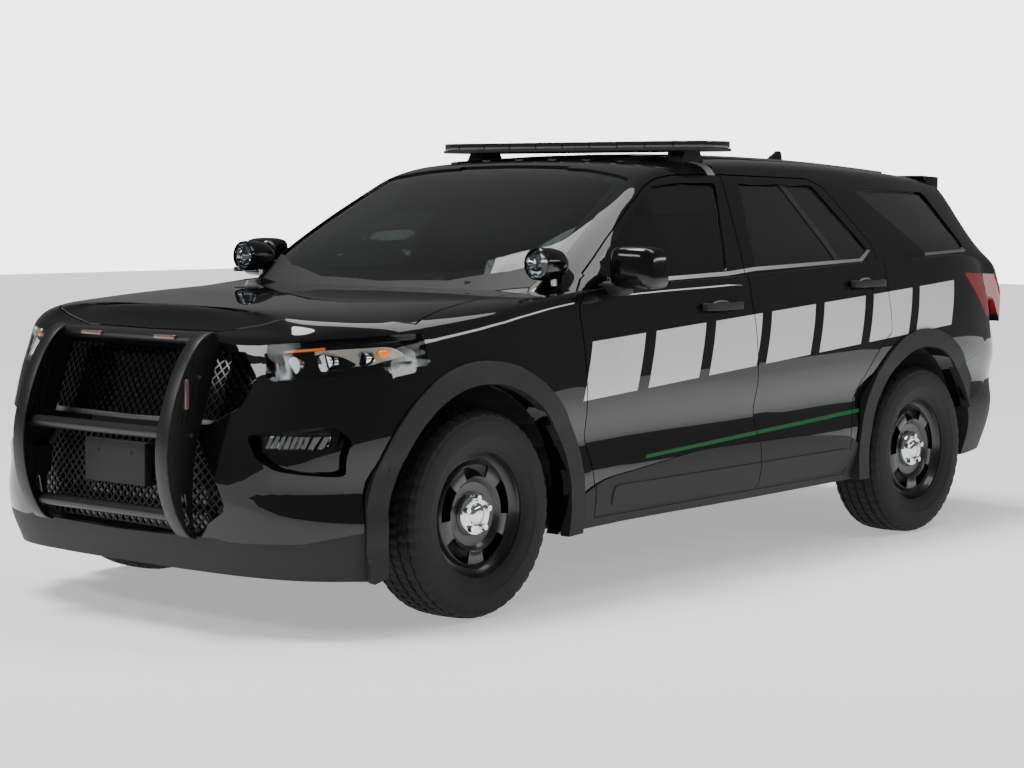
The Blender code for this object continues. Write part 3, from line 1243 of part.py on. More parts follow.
centre = placed(SPOTLIGHT_SHARES)
nose = centre - Vector((0, SPOTLIGHT_HALF_LENGTH, 0))
tail = centre + Vector((0, SPOTLIGHT_HALF_LENGTH, 0))
spot = cylinder("spot", centre + Vector((0, OVERRUN / 4, 0)), nose, SPOTLIGHT_RADIUS, 20, SPOTLIGHT_RADIUS)
join(spot, cylinder("tail", centre, tail, SPOTLIGHT_RADIUS - TOUCH, 20, SPOTLIGHT_RADIUS / 2))
join(spot, cylinder("arm", centre, placed(SPOTLIGHT_ARM_SHARES), SPOTLIGHT_ARM_RADIUS, 12))
cut(spot, outer_fit, True)
largest_body(spot)
finish(mirrored(spot), "spotlight_right", "trim")
finish(spot, "spotlight_left", "trim")

bar_y = along(BAR_PLACE_SHARE)
bar_middle = BAR_BOTTOM + BAR_THICKNESS / 2
light_bar = soft_block("bar", (0, bar_y, bar_middle), (BAR_HALF_LENGTH, BAR_HALF_DEPTH, BAR_THICKNESS / 2))
for side in (-1, 1):
    foot_x = side * BAR_FOOT_X
    join(light_bar, box("foot", (foot_x - BAR_FOOT_HALF, bar_y - BAR_FOOT_HALF, upward(BAR_ROOT_SHARE)),
                        (foot_x + BAR_FOOT_HALF, bar_y + BAR_FOOT_HALF, bar_middle)))
cut(light_bar, outer_fit, True)
finish(largest_body(light_bar), "light_bar", "trim")

# Push bumper
front_curve = side_outline(PUSH_FRONT_SHARES)
plate_line = front_curve + side_outline(PUSH_REAR_SHARES)
band_back = grown(plate_line, -PUSH_BAND_THICKNESS)[:len(front_curve)]
band_line = front_curve + list(reversed(band_back))
inner_plate_line = grown(plate_line, -PUSH_BAND_THICKNESS / 2)
(bracket_front, bracket_low), (bracket_rear, bracket_high) = side_outline(PUSH_BRACKET_SHARES)
push = None
for side in (-1, 1):
    low_x = side * PUSH_X - PUSH_BAND_WIDTH / 2
    high_x = side * PUSH_X + PUSH_BAND_WIDTH / 2
    upright_piece = prism("band", band_line, "X", low_x, high_x)
    join(upright_piece, prism("plate", inner_plate_line, "X", side * PUSH_X - PUSH_PLATE_THICKNESS / 2,
                              side * PUSH_X + PUSH_PLATE_THICKNESS / 2))
    cut(upright_piece, outer_clear, True)
    bracket = box("bracket", (low_x + TOUCH, bracket_front, bracket_low),
                  (high_x - TOUCH, bracket_rear, bracket_high))
    join(upright_piece, cut(bracket, outer_fit, True))
    push = join(push, upright_piece) if push else upright_piece
for y, z in side_outline(PUSH_BAR_SHARES):
    join(push, cylinder("bar", (-PUSH_X, y, z), (PUSH_X, y, z), PUSH_BAR_RADIUS, BAR_SIDES))
finish(largest_body(push), "push_bumper", "steel")

drop(*list(WORK.objects))
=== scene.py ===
import math

import bmesh
import bpy
from mathutils import Matrix, Vector


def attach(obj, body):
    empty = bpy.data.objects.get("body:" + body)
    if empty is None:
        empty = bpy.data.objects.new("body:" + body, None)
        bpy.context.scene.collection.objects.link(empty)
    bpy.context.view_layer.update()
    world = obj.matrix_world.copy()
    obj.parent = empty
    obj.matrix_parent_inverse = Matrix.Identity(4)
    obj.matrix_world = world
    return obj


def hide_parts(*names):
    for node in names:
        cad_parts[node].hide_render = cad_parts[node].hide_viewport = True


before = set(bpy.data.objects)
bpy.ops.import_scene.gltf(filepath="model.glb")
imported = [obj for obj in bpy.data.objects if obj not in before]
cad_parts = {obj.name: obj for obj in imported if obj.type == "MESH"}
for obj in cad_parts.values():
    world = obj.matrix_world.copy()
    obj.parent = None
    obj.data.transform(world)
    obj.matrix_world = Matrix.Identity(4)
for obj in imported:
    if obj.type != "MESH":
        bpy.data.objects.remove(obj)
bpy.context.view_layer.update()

# Camera
# The photograph was taken from the front left corner, at a standing eye's height, with a short
# telephoto lens. Every size below is measured from the ground under the middle of the front axle,
# which lies at AXLE_Y in the frame.
AXLE_Y = -1.5594
LENS_MM = 82.87
SENSOR_MM = 36
CAMERA_PLACE = (6.531, -6.348 + AXLE_Y, 1.530)
CAMERA_TURN = 40.555
CAMERA_TILT = 90 - 4.556
CAMERA_ROLL = 0.256
camera_data = bpy.data.cameras.new("camera")
camera_data.lens = LENS_MM
camera_data.sensor_width = SENSOR_MM
camera_data.clip_end = 100
camera = bpy.data.objects.new("camera", camera_data)
bpy.context.scene.collection.objects.link(camera)
camera.matrix_world = (
    Matrix.Translation(CAMERA_PLACE)
    @ Matrix.Rotation(math.radians(CAMERA_TURN), 4, "Z")
    @ Matrix.Rotation(math.radians(CAMERA_TILT), 4, "X")
    @ Matrix.Rotation(math.radians(CAMERA_ROLL), 4, "Z")
)
bpy.context.scene.camera = camera

# Studio
# A pale painted floor before a white backdrop, under a high sun and a long box light. Two strip
# lights draw the soft white lines along the car's left shoulder and across its hood.
FLOOR_SIZE = 60
FLOOR_GLOW = 0.45
BACKDROP_LIGHT = 0.16
BACKDROP_SEEN = 4.0
SUN_STRENGTH = 2.6
SUN_SPREAD = 24
SUN_LEAN = (12, -14)
# Name, place, place it points at, length, width, watts
BOX_LIGHTS = (
    ("overhead", (0.6, 0.2, 5.0), (0, 0, 0.8), 1.8, 6.5, 150),
    ("left_strip", (6.5, 3.5, 3.4), (0, 0.3, 0.9), 6.5, 0.35, 70),
    ("front_strip", (-1.5, -7.0, 4.0), (0, -1.5, 0.8), 4.5, 0.8, 110),
)


def linear(hex_colour):
    """The linear colour of an sRGB hex value."""
    channels = []
    for start in (0, 2, 4):
        value = int(hex_colour[start:start + 2], 16) / 255
        channels.append(value / 12.92 if value <= 0.04045 else ((value + 0.055) / 1.055) ** 2.4)
    return (*channels, 1.0)


def add_node(tree, kind, settings=(), links=()):
    """Adds a node, sets its properties, and links or sets its sockets."""
    made = tree.nodes.new(kind)
    for key, value in dict(settings).items():
        setattr(made, key, value)
    for socket, value in dict(links).items():
        if isinstance(value, bpy.types.NodeSocket):
            tree.links.new(value, made.inputs[socket])
        else:
            made.inputs[socket].default_value = value
    return made


def finish(name, hex_colour, roughness, metallic=0.0, grain_mm=0.0, depth=0.0, **shader_values):
    """A material whose grain, this many millimetres across, varies its tint, gloss and relief."""
    mottle = 0.12
    uneven = 0.15
    material = bpy.data.materials.new(name)
    material.use_nodes = True
    tree = material.node_tree
    shader = tree.nodes["Principled BSDF"]
    colour = linear(hex_colour)
    shader.inputs["Base Color"].default_value = colour
    shader.inputs["Roughness"].default_value = roughness
    shader.inputs["Metallic"].default_value = metallic
    for key, value in shader_values.items():
        shader.inputs[key.replace("_", " ")].default_value = value
    if grain_mm:
        place = add_node(tree, "ShaderNodeTexCoord")
        grain = add_node(tree, "ShaderNodeTexNoise", links={
            "Vector": place.outputs["Object"], "Scale": 1000 / grain_mm, "Detail": 4.0})
        # Most of the noise lies between 0.3 and 0.7.
        gloss = add_node(tree, "ShaderNodeMapRange", links={
            "Value": grain.outputs["Fac"], "From Min": 0.3, "From Max": 0.7,
            "To Min": roughness * (1 - uneven), "To Max": min(roughness * (1 + uneven), 1.0)})
        tree.links.new(gloss.outputs["Result"], shader.inputs["Roughness"])
        # Sockets 6 and 7 are the colour inputs A and B, and output 2 is the mixed colour.
        tint = add_node(tree, "ShaderNodeMix", {"data_type": "RGBA"}, {0: grain.outputs["Fac"]})
        for socket, factor in ((6, 1 - mottle), (7, 1 + mottle)):
            shade = [min(channel * factor, 1.0) for channel in colour[:3]]
            tint.inputs[socket].default_value = (*shade, 1.0)
        tree.links.new(tint.outputs[2], shader.inputs["Base Color"])
        bump = add_node(tree, "ShaderNodeBump", links={
            "Height": grain.outputs["Fac"], "Strength": depth, "Distance": grain_mm / 1000})
        tree.links.new(bump.outputs["Normal"], shader.inputs["Normal"])
    return material


def add_light(name, kind, energy):
    """Adds a light of this kind and power to the scene."""
    data = bpy.data.lights.new(name, kind)
    data.energy = energy
    lamp = bpy.data.objects.new(name, data)
    bpy.context.scene.collection.objects.link(lamp)
    return lamp


# Matt paint with a faint glow, which keeps the far floor as pale as the backdrop.
floor_paint = finish("painted_floor", "F6F6F6", 0.9, Emission_Color=linear("FFFFFF"),
                     Emission_Strength=FLOOR_GLOW)
bpy.ops.object.select_all(action="DESELECT")
bpy.ops.mesh.primitive_plane_add(size=FLOOR_SIZE, location=(0, 0, 0))
floor = bpy.context.object
floor.name = "studio_floor"
floor.data.materials.append(floor_paint)
world = bpy.data.worlds.new("studio")
world.use_nodes = True
backdrop = world.node_tree.nodes["Background"]
light_path = add_node(world.node_tree, "ShaderNodeLightPath")
seen = add_node(world.node_tree, "ShaderNodeMapRange", links={
    "Value": light_path.outputs["Is Camera Ray"],
    "To Min": BACKDROP_LIGHT, "To Max": BACKDROP_SEEN})
backdrop.inputs["Color"].default_value = linear("FFFFFF")
world.node_tree.links.new(seen.outputs["Result"], backdrop.inputs["Strength"])
bpy.context.scene.world = world
sun = add_light("high_sun", "SUN", SUN_STRENGTH)
sun.data.angle = math.radians(SUN_SPREAD)
sun.rotation_euler = (math.radians(SUN_LEAN[0]), math.radians(SUN_LEAN[1]), 0)
for name, place, aim, length, width, watts in BOX_LIGHTS:
    lamp = add_light(name, "AREA", watts)
    lamp.data.shape = "RECTANGLE"
    lamp.data.size = length
    lamp.data.size_y = width
    lamp.location = place
    lamp.rotation_euler = (Vector(aim) - Vector(place)).to_track_quat("-Z", "Y").to_euler()

# Body surfaces
# The steel body is pressed from thin sheet. Its surfaces are drawn as one smooth hull for the lower
# body and one for the glasshouse, and each panel is then trimmed out of them along its shut lines.
WHEELBASE = 3.025
HALF_WIDTH = 0.990
ROOF_HEIGHT = 1.712
# Half outline in plan: share of half width, share of wheelbase
PLAN = (
    (0.0, -0.299), (0.354, -0.296), (0.626, -0.283), (0.808, -0.251), (0.909, -0.198),
    (0.965, -0.139), (0.995, 0.0), (0.995, 0.198), (1.0, 0.562), (1.0, 0.826),
    (0.995, 1.025), (0.965, 1.174), (0.899, 1.266), (0.758, 1.329), (0.455, 1.362), (0.0, 1.370),
)
# Levels: share of the way to the shoulder, inset of side, front and rear as shares of half width
LEVELS = (
    (0.0, 0.050, 0.061, 0.141), (0.14, 0.012, 0.015, 0.091), (0.25, 0.005, 0.0, 0.030),
    (0.38, 0.030, 0.001, 0.002), (0.52, 0.0, 0.015, 0.010), (0.68, 0.003, 0.056, 0.101),
    (0.79, 0.015, 0.086, 0.111), (0.89, 0.035, 0.116, 0.131), (1.0, 0.061, 0.152, 0.182),
)
# Rings of the top: share of half width kept, extra inset of the ends, share of the rise
TOPS = (
    (0.97, 0.03, 0.35), (0.90, 0.06, 0.62), (0.75, 0.09, 0.85),
    (0.50, 0.11, 0.97), (0.25, 0.12, 1.0),
)
# Edge lines along the car: share of wheelbase, share of roof height
BOTTOM = (
    (-0.299, 0.125), (-0.15, 0.110), (-0.12, 0.110), (0.15, 0.155), (0.80, 0.172),
    (1.0, 0.180), (1.2, 0.187), (1.37, 0.200),
)
SHOULDER = (
    (-0.299, 0.602), (-0.099, 0.613), (0.198, 0.683), (0.331, 0.695), (0.42, 0.695),
    (0.555, 0.704), (0.77, 0.724), (0.86, 0.724), (1.058, 0.736), (1.19, 0.736),
    (1.306, 0.701), (1.37, 0.672),
)
CROWN = (
    (-0.299, 0.602), (-0.25, 0.625), (-0.218, 0.660), (0.0, 0.680), (0.149, 0.689),
    (0.33, 0.672), (1.2, 0.672), (1.37, 0.660),
)
# Sections of the glasshouse: share of wheelbase, half width at belt and at rail, height of rail
# and of crown, share of a wall taken off the end
HOUSE = (
    (0.116, 0.885, 0.848, 0.572, 0.643, 0.0), (0.182, 0.895, 0.852, 0.663, 0.733, 0.0),
    (0.231, 0.904, 0.845, 0.727, 0.794, 0.0), (0.298, 0.914, 0.810, 0.805, 0.862, 0.0),
    (0.364, 0.922, 0.763, 0.876, 0.923, 0.0), (0.410, 0.925, 0.730, 0.924, 0.958, 0.0),
    (0.450, 0.924, 0.709, 0.945, 0.977, 0.0), (0.496, 0.923, 0.700, 0.954, 0.985, 0.0),
    (0.661, 0.921, 0.692, 0.963, 1.0, 0.0), (0.860, 0.914, 0.690, 0.958, 0.996, 0.0),
    (1.058, 0.894, 0.676, 0.938, 0.981, 0.0), (1.190, 0.869, 0.650, 0.920, 0.967, 0.0),
    (1.236, 0.859, 0.635, 0.914, 0.958, 0.3), (1.256, 0.854, 0.667, 0.853, 0.894, 1.0),
    (1.289, 0.848, 0.727, 0.742, 0.765, 1.0), (1.319, 0.838, 0.788, 0.654, 0.666, 1.0),
)
ROOF_ARC = ((0.93, 0.45), (0.75, 0.75), (0.45, 0.93), (0.0, 1.0))
SKIN = 0.018
AXLE_Z = 0.3816
ARCH_RADIUS = 0.475
# Cutters end past the car on every side.
PAST_SIDE = 1.3


def spline(points, steps, hard=(), before_first=None, after_last=None):
    """A smooth line through all points, with a corner at each index in hard."""
    points = [Vector(point) for point in points]
    result = []
    for index in range(len(points) - 1):
        start, end = points[index], points[index + 1]
        before = start * 2 - end
        after = end * 2 - start
        if index and index not in hard:
            before = points[index - 1]
        elif before_first and not index:
            before = Vector(before_first)
        if index + 2 < len(points) and index + 1 not in hard:
            after = points[index + 2]
        elif after_last and index + 2 == len(points):
            after = Vector(after_last)
        four = (before, start, end, after)
        knots = [0.0]
        for first, second in zip(four, four[1:]):
            knots.append(knots[-1] + max((second - first).length, 1e-6) ** 0.5)
        for step in range(steps):
            t = knots[1] + (knots[2] - knots[1]) * step / steps
            row = list(four)
            for spans in (((0, 1), (1, 2), (2, 3)), ((0, 2), (1, 3)), ((1, 2),)):
                row = [(row[i] * (knots[high] - t) + row[i + 1] * (t - knots[low]))
                       / (knots[high] - knots[low]) for i, (low, high) in enumerate(spans)]
            result.append(row[0])
    result.append(points[-1])
    return result


def between(table, place):
    """The value at this place on a line of places and values."""
    if place <= table[0][0]:
        return table[0][1]
    for (low, low_value), (high, high_value) in zip(table, table[1:]):
        if place <= high:
            return low_value + (high_value - low_value) * (place - low) / (high - low)
    return table[-1][1]


def line_height(table, y):
    """The height of one of the car's edge lines at this place along it."""
    return ROOF_HEIGHT * between(table, y / WHEELBASE)


def new_piece(name, mesh):
    """Puts a mesh into the scene as a piece."""
    piece = bpy.data.objects.new(name, mesh)
    bpy.context.scene.collection.objects.link(piece)
    return piece


def settle(name, shape):
    """Makes a piece of an edited shape, with its faces turned outward."""
    bmesh.ops.recalc_face_normals(shape, faces=shape.faces)
    mesh = bpy.data.meshes.new(name)
    shape.to_mesh(mesh)
    shape.free()
    return new_piece(name, mesh)


def drop(*pieces):
    """Deletes pieces that have done their work as cutters or sources."""
    for piece in pieces:
        bpy.data.objects.remove(piece, do_unlink=True)


def apply_modifier(piece, kind, **settings):
    """Adds a modifier to a piece and applies it."""
    modifier = piece.modifiers.new(kind, kind)
    for key, value in settings.items():
        setattr(modifier, key, value)
    bpy.ops.object.select_all(action="DESELECT")
    bpy.context.view_layer.objects.active = piece
    bpy.ops.object.modifier_apply(modifier=modifier.name)
    return piece


def combine(piece, other, operation, keep):
    """Joins, cuts or trims a piece by another, which is deleted unless it is kept."""
    apply_modifier(piece, "BOOLEAN", operation=operation, solver="EXACT", object=other)
    if not keep:
        drop(other)
    return piece


def join(piece, other, keep=False):
    """Adds another piece to a piece."""
    return combine(piece, other, "UNION", keep)


def hull(name, rings):
    """A closed solid from half rings that start at the middle and run round the left side."""
    shape = bmesh.new()
    rows = []
    for half in rings:
        half = [tuple(point) for point in half]
        other_half = [(-x, y, z) for x, y, z in reversed(half[1:-1])]
        rows.append([shape.verts.new(point) for point in half + other_half])
    count = len(rows[0])
    for lower, upper in zip(rows, rows[1:]):
        for index in range(count):
            after = (index + 1) % count
            shape.faces.new((lower[index], lower[after], upper[after], upper[index]))
    half = count // 2
    for row in (rows[0], rows[-1]):
        for index in range(half):
            corners = []
            across = row[-index - 1] if index + 1 < half else row[index + 1]
            for corner in (row[index], row[index + 1], across, row[-index] if index else row[index]):
                if corner not in corners:
                    corners.append(corner)
            shape.faces.new(corners)
    bmesh.ops.triangulate(shape, faces=shape.faces)
    return settle(name, shape)


def smooth_rings(rings, steps, hard_columns=(), hard_rows=()):
    """The same rings with more points and rings between them, on smooth lines."""
    wide = []
    for half in rings:
        x, y, z = half[1]
        end_x, end_y, end_z = half[-2]
        wide.append(spline(half, steps, hard_columns, (-x, y, z), (-end_x, end_y, end_z)))
    columns = [spline(column, steps, hard_rows) for column in zip(*wide)]
    return [list(row) for row in zip(*columns)]


def plan_normals():
    """Each place of the plan outline with its outward direction."""
    points = [(x * HALF_WIDTH, y * WHEELBASE) for x, y in PLAN]
    plan = []
    for index, (x, y) in enumerate(points):
        before = points[index - 1] if index else (-points[1][0], points[1][1])
        after = points[index + 1] if index + 1 < len(points) else (-points[-2][0], points[-2][1])
        tangent = Vector(after) - Vector(before)
        normal = Vector((-tangent.y, tangent.x)).normalized()
        if normal.dot(Vector((x, y - WHEELBASE / 2))) < 0:
            normal.negate()
        plan.append((Vector((x, y)), normal))
    return plan


def lower_rings(side_wall, end_wall, roof_wall, below):
    """Level rings of the lower body and its top, set in by the walls."""
    rings = []
    table = [(share, side, front, rear, 1.0, 0.0, None) for share, side, front, rear in LEVELS]
    share, side, front, rear = LEVELS[-1]
    table += [(share, side, front, rear, kept, extra, rise) for kept, extra, rise in TOPS]
    for share, side, front, rear, kept, extra, rise in table:
        half = []
        for point, normal in plan_normals():
            end = (front if normal.y < 0 else rear) + extra
            inset = (normal.x ** 2 * (side * HALF_WIDTH + side_wall)
                     + normal.y ** 2 * (end * HALF_WIDTH + end_wall))
            place = point - normal * inset
            bottom = line_height(BOTTOM, point.y)
            shoulder = line_height(SHOULDER, point.y)
            if rise is None:
                z = bottom + (shoulder - roof_wall - bottom) * share - (0 if share else below)
            else:
                crown = max(line_height(CROWN, place.y), shoulder)
                z = shoulder + (crown - shoulder) * rise - roof_wall
            half.append((max(place.x, 0) * kept if point.x else 0, place.y, z))
        rings.append(half)
    return rings


def house_rings(side_wall, end_wall, roof_wall):
    """Cross sections of the glasshouse from front to rear, set in by the walls."""
    rings = []
    for place, belt, rail, rail_height, crown_height, back in HOUSE:
        y = place * WHEELBASE - end_wall * back
        x_belt = belt * HALF_WIDTH - side_wall
        x_rail = rail * HALF_WIDTH - side_wall
        z_rail = rail_height * ROOF_HEIGHT - roof_wall
        z_crown = crown_height * ROOF_HEIGHT - roof_wall
        z_belt = min(line_height(SHOULDER, y), z_rail - 0.03)
        half = [(0, y, z_belt - 0.20), (x_belt, y, z_belt - 0.16), (x_belt, y, z_belt),
                ((x_belt + x_rail) / 2 + 0.012, y, (z_belt + z_rail) / 2), (x_rail, y, z_rail)]
        rise_to_crown = z_crown - z_rail
        half += [(x_rail * reach, y, z_rail + rise_to_crown * rise) for reach, rise in ROOF_ARC]
        rings.append(half)
    return rings


def body_solid(name, side_wall, pillar_wall, end_wall, roof_wall, below, steps):
    """The whole body, as deep under its surface as the walls say."""
    solid = hull(name, smooth_rings(lower_rings(side_wall, end_wall, roof_wall, below), steps))
    house = smooth_rings(house_rings(pillar_wall, end_wall, roof_wall), steps, (1,), (12, 13))
    return join(solid, hull(name, house))


def even_solid(name, depth, below, steps):
    return body_solid(name, depth, depth, depth, depth, below, steps)


def cut(piece, other, keep=False):
    """Takes another piece away from a piece."""
    return combine(piece, other, "DIFFERENCE", keep)


def twin(piece):
    """A copy of a piece with a mesh of its own."""
    copied = piece.copy()
    copied.data = piece.data.copy()
    bpy.context.scene.collection.objects.link(copied)
    return copied


def arc(centre, radius, start, end, steps):
    points = []
    for step in range(steps + 1):
        angle = math.radians(start + (end - start) * step / steps)
        points.append((centre[0] + radius * math.cos(angle), centre[1] + radius * math.sin(angle)))
    return points


def add_prism(shape, points, axis, low, high):
    order = {"X": lambda a, b, depth: (depth, a, b), "Y": lambda a, b, depth: (a, depth, b),
             "Z": lambda a, b, depth: (a, b, depth)}[axis]
    face = shape.faces.new([shape.verts.new(order(a, b, low)) for a, b in points])
    swept = bmesh.ops.extrude_face_region(shape, geom=[face])
    moved = [item for item in swept["geom"] if isinstance(item, bmesh.types.BMVert)]
    bmesh.ops.translate(shape, verts=moved, vec=order(0, 0, high - low))


def prism(points, axis, low, high):
    """An outline drawn across an axis and pushed along it from low to high."""
    shape = bmesh.new()
    add_prism(shape, points, axis, low, high)
    return settle("cutter", shape)


# Solids at the depths under the surface from which the panels, glass and recesses are cut
outer = even_solid("outer", 0, 0, 4)
inner = body_solid("inner", 0.085, 0.045, 0.055, 0.030, 0.46, 1)
shell = cut(twin(outer), inner, True)
skin_back = even_solid("skin_back", SKIN, 0.46, 2)
skin = cut(twin(outer), skin_back, True)
box_face = even_solid("box_face", SKIN - 0.006, 0.23, 1)
thick = cut(twin(box_face), inner, True)
for axle in (0, WHEELBASE):
    for low_x, high_x in ((0.35, PAST_SIDE), (-PAST_SIDE, -0.35)):
        arch = prism(arc((axle, AXLE_Z), ARCH_RADIUS, 0, 357, 119), "X", low_x, high_x)
        for solid in (shell, skin, thick):
            cut(solid, arch, True)
        drop(arch)

# Hood
# One pressed steel panel in gloss black paint under clear coat. It is trimmed from the body's sheet
# along its shut line and hinged at its rear corners.
SHUT_GAP = 0.005
PAST_TOP = 2.2
HOOD_EDGE = (
    (0.0, -0.241), (0.354, -0.238), (0.606, -0.218), (0.788, -0.165), (0.889, -0.109),
    (0.904, -0.094), (0.859, -0.033), (0.808, 0.05), (0.773, 0.142), (0.747, 0.172),
)
HOOD_REAR = ((0.747, 0.172), (0.606, 0.155), (0.354, 0.137), (0.0, 0.132))
GAP = SHUT_GAP / 2
HOOD_FLANGE = 0.025
PAST_FRONT = -1.2
PAST_REAR = 4.4


def common(piece, other, keep=False):
    """Keeps of a piece what lies inside another."""
    return combine(piece, other, "INTERSECT", keep)


def plan_line(shares):
    return [(x * HALF_WIDTH, y * WHEELBASE) for x, y in shares]


def both_sides(half):
    return half + [(-x, y) for x, y in reversed(half) if x > 0]


def grown(points, distance):
    """The same outline moved outward, or inward where the distance is negative."""
    sides = zip(points, points[1:] + points[:1])
    turn = 1 if sum(ax * by - bx * ay for (ax, ay), (bx, by) in sides) > 0 else -1
    result = []
    for index, point in enumerate(points):
        here = Vector(point)
        first = (here - Vector(points[index - 1])).normalized()
        second = (Vector(points[(index + 1) % len(points)]) - here).normalized()
        normal_a = Vector((first.y, -first.x)) * turn
        normal_b = Vector((second.y, -second.x)) * turn
        middle = (normal_a + normal_b).normalized()
        result.append(tuple(here + middle * distance / max(middle.dot(normal_a), 0.4)))
    return result


def plan_prism(points, low_z=-0.1, high_z=PAST_TOP):
    return prism(points, "Z", low_z, high_z)


def side_line(shares):
    return [(y * WHEELBASE, z * ROOF_HEIGHT) for y, z in shares]


def whole_prism(points):
    """A cutter through the whole width of the car, drawn in side view."""
    return prism(points, "X", -PAST_SIDE, PAST_SIDE)


def largest_body(piece):
    """Keeps the largest of a piece's separate shells, without the slivers left by a cut."""
    shape = bmesh.new()
    shape.from_mesh(piece.data)
    left = set(shape.faces)
    bodies = []
    while left:
        seed = left.pop()
        body = {seed}
        front = [seed]
        while front:
            for edge in front.pop().edges:
                for other in edge.link_faces:
                    if other in left:
                        left.remove(other)
                        body.add(other)
                        front.append(other)
        bodies.append(body)
    keep = max(bodies, key=lambda body: sum(face.calc_area() for face in body))
    spare = [face for face in shape.faces if face not in keep]
    bmesh.ops.delete(shape, geom=spare, context="FACES")
    shape.to_mesh(piece.data)
    shape.free()
    return piece


def show(piece, name, material, body, replaced=(), angle=28):
    """Puts a piece in its place on the car, shades it and ties it to the body it moves with."""
    piece.data.transform(Matrix.Translation((0, AXLE_Y, 0)))
    piece.name = name
    piece.data.name = name
    piece.data.materials.clear()
    piece.data.materials.append(material)
    bpy.ops.object.select_all(action="DESELECT")
    piece.select_set(True)
    bpy.context.view_layer.objects.active = piece
    bpy.ops.object.shade_smooth_by_angle(angle=math.radians(angle))
    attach(piece, body)
    if replaced:
        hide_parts(*replaced)
    return piece


# Black base coat under clear coat: deep black with sharp reflections and a trace of orange peel.
paint = finish("black_clearcoat_paint", "040507", 0.55, grain_mm=5.0, depth=0.01,
               Specular_IOR_Level=0.05, Coat_Weight=1.0, Coat_Roughness=0.015, Coat_IOR=1.5)
hood_line = both_sides(plan_line(HOOD_EDGE + HOOD_REAR[1:]))
hood = common(twin(shell), plan_prism(grown(hood_line, -GAP)))
hood_under = [(y, z - HOOD_FLANGE) for y, z in side_line(SHOULDER)]
cut(hood, whole_prism(hood_under + [(PAST_REAR, 0), (PAST_FRONT, 0)]))
show(largest_body(hood), "hood_skin", paint, "hood", ["hood"])

# Cowl
# A grained plastic panel clipped in between hood and windscreen, with two wipers resting over it:
# round steel arms with rubber blades.
SCREEN_FOOT = ((0.0, 0.155), (0.354, 0.162), (0.606, 0.188), (0.780, 0.222))
# Where each wiper arm starts and ends across the car
WIPERS = ((0.45, -0.22), (-0.15, -0.68))
HALF_BLADE = 0.30


def block(low, high):
    """A box between two opposite corners."""
    bpy.ops.mesh.primitive_cube_add(size=1, calc_uvs=False, location=(0, 0, 0))
    piece = bpy.context.object
    middle = (Vector(low) + Vector(high)) / 2
    sides = Vector(high) - Vector(low)
    piece.data.transform(Matrix.Translation(middle) @ Matrix.Diagonal((*sides, 1)))
    return piece


def below_cut(piece):
    """Takes away what lies under the height of the belt."""
    belt = 0.5 * ROOF_HEIGHT
    return cut(piece, block((-PAST_SIDE, PAST_FRONT, -0.2), (PAST_SIDE, PAST_REAR, belt)))


def rod(start, end, radius, sides=32, end_radius=None):
    """A round bar, or a cone where its end has a radius of its own."""
    start = Vector(start)
    end = Vector(end)
    if end_radius is None:
        end_radius = radius
    shape = bmesh.new()
    bmesh.ops.create_cone(shape, cap_ends=True, segments=sides, radius1=radius,
                          radius2=end_radius, depth=(end - start).length)
    turn = (end - start).to_track_quat("Z", "Y").to_matrix().to_4x4()
    shape.transform(Matrix.Translation((start + end) / 2) @ turn)
    return settle("rod", shape)


# Moulded polypropylene with a fine leather grain, dull black.
black_plastic = finish("grained_black_plastic", "161616", 0.60, grain_mm=1.2, depth=0.25)
# Extruded rubber, nearly without gloss.
rubber = finish("black_rubber", "101010", 0.80, grain_mm=2.0, depth=0.15)
cowl_line = both_sides(plan_line(tuple(reversed(HOOD_REAR)) + tuple(reversed(SCREEN_FOOT))))
cowl = common(twin(shell), plan_prism(grown(cowl_line, -GAP)))
largest_body(below_cut(cowl))
show(cowl, "cowl_skin", black_plastic, "body", ["cowl_panel"])
for index, (root_x, tip_x) in enumerate(WIPERS):
    arm = rod((root_x, 0.50, 1.185), (tip_x, 0.60, 1.225), 0.007, 12)
    join(arm, rod((root_x, 0.49, 1.17), (root_x, 0.50, 1.195), 0.018, 20))
    right_x = tip_x - HALF_BLADE
    left_x = tip_x + HALF_BLADE
    blade_line = [(right_x, 0.585), (left_x, 0.575), (left_x, 0.587), (right_x, 0.597)]
    blade = prism(blade_line, "Z", 1.203, 1.222)
    show(arm, "wiper_arm_%d" % index, black_plastic, "body", angle=40)
    show(blade, "wiper_blade_%d" % index, rubber, "body")

# Windscreen
# Laminated glass with a faint grey-green tint, glued in behind a black printed border.
TOUCH = 0.0003
BORDER_WIDTH = 0.050


def rounded(points, radius):
    """The same outline with an arc at each corner, smaller where a side is short."""
    steps = 5
    result = []
    for index, point in enumerate(points):
        here = Vector(point)
        before = Vector(points[index - 1])
        after = Vector(points[(index + 1) % len(points)])
        reach = min(radius, (before - here).length * 0.45, (after - here).length * 0.45)
        start = here + (before - here).normalized() * reach
        end = here + (after - here).normalized() * reach
        for step in range(steps + 1):
            share = step / steps
            result.append(tuple(start * (1 - share) ** 2 + here * 2 * share * (1 - share)
                                + end * share ** 2))
    return result


